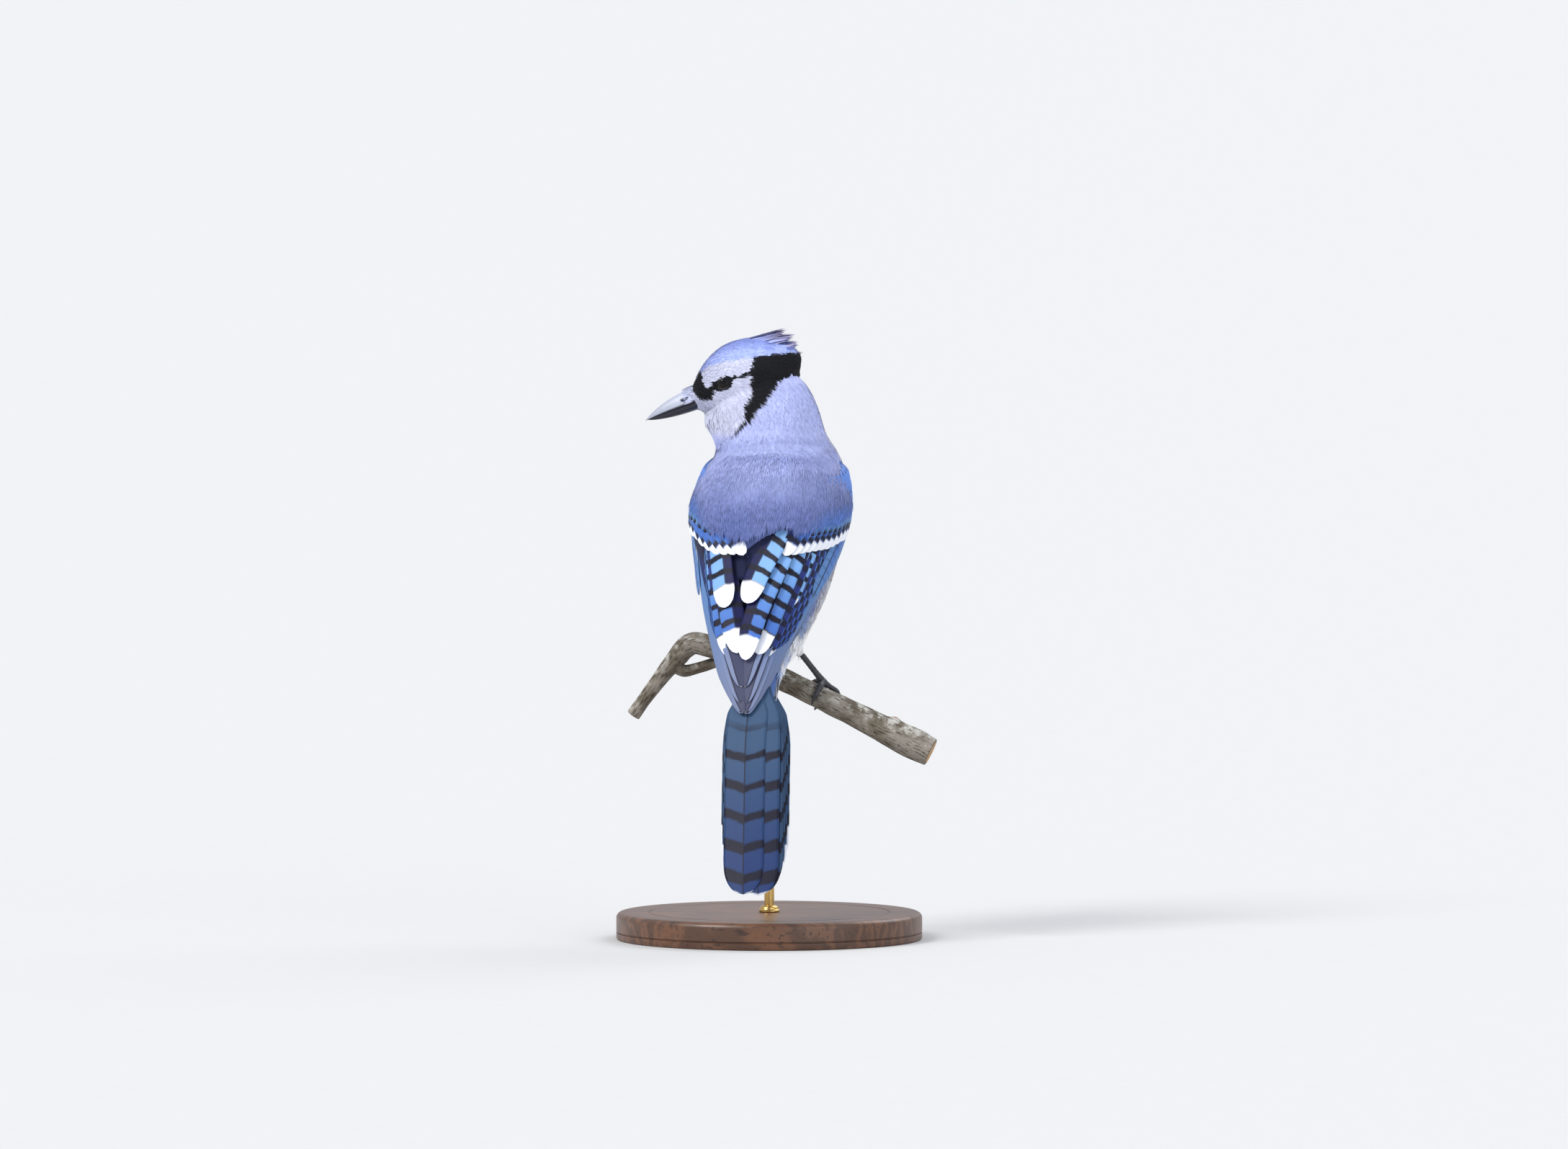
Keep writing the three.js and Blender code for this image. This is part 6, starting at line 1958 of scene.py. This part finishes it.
def stage():
    """Pale floor, soft lights and the camera."""
    sides = 48
    turn = np.linspace(0, 2 * math.pi, sides, endpoint=False)
    ring = np.stack([np.cos(turn), np.sin(turn), 0 * turn], -1)
    points = np.concatenate([ring * reach / MM for reach in (70.0, 8.0, 0.8)] + [np.zeros((1, 3))])
    i = np.arange(sides)
    hub = np.stack([2 * sides + i, 2 * sides + (i + 1) % sides, np.full(sides, 3 * sides)], -1)
    floor = new_mesh("studio_floor", points, [quads_of(3, sides, closed=True), hub])
    floor.data.materials.append(paper())

    def far_light(name, place, strength, softness, colour):
        light = bpy.data.lights.new(name, "SUN")
        light.energy = strength
        light.angle = math.radians(softness)
        light.color = colour
        thing = bpy.data.objects.new(name, light)
        bpy.context.scene.collection.objects.link(thing)
        thing.location = place
        thing.rotation_euler = Vector(place).to_track_quat("Z", "Y").to_euler()

    far_light("key_light", (-1.3, -1.5, 1.8), 2.3, 24, (1.0, 0.99, 0.97))
    far_light("fill_light", (1.9, -1.5, 0.7), 0.75, 50, (0.93, 0.96, 1.0))
    far_light("back_light", (0.9, 1.4, 1.6), 1.1, 40, (0.96, 0.98, 1.0))
    world = bpy.data.worlds.new("studio_air")
    world.use_nodes = True
    air = world.node_tree.nodes["Background"].inputs
    air["Color"].default_value = (0.90, 0.93, 1.0, 1)
    air["Strength"].default_value = 0.72
    bpy.context.scene.world = world
    bpy.context.scene.view_settings.view_transform = "Standard"

    camera = bpy.data.objects.new("camera", bpy.data.cameras.new("camera"))
    bpy.context.scene.collection.objects.link(camera)
    camera.data.sensor_width = SENSOR
    camera.data.lens = SENSOR * CAMERA_AWAY / FRAME_WIDTH
    azimuth, elevation = math.radians(CAMERA_AZIMUTH), math.radians(CAMERA_ELEVATION)
    look_way = np.array([-math.sin(azimuth) * math.cos(elevation), math.cos(azimuth) * math.cos(elevation),
                         -math.sin(elevation)])
    right = np.array([math.cos(azimuth), math.sin(azimuth), 0])
    up = np.cross(right, look_way)
    aim = right * AIM_RIGHT + up * AIM_UP
    camera.location = (aim - look_way * CAMERA_AWAY) * MM
    camera.rotation_mode = "QUATERNION"
    camera.rotation_quaternion = Vector(look_way).to_track_quat("-Z", "Y")
    camera.data.clip_start, camera.data.clip_end = 0.1, 100
    bpy.context.scene.camera = camera


skin_tree, soft = coat()
crest(soft)
mantle_feathers(skin_tree, soft)
wings()
tail()
eyes()
bill(soft)
feet()
perch()
stand()
stage()
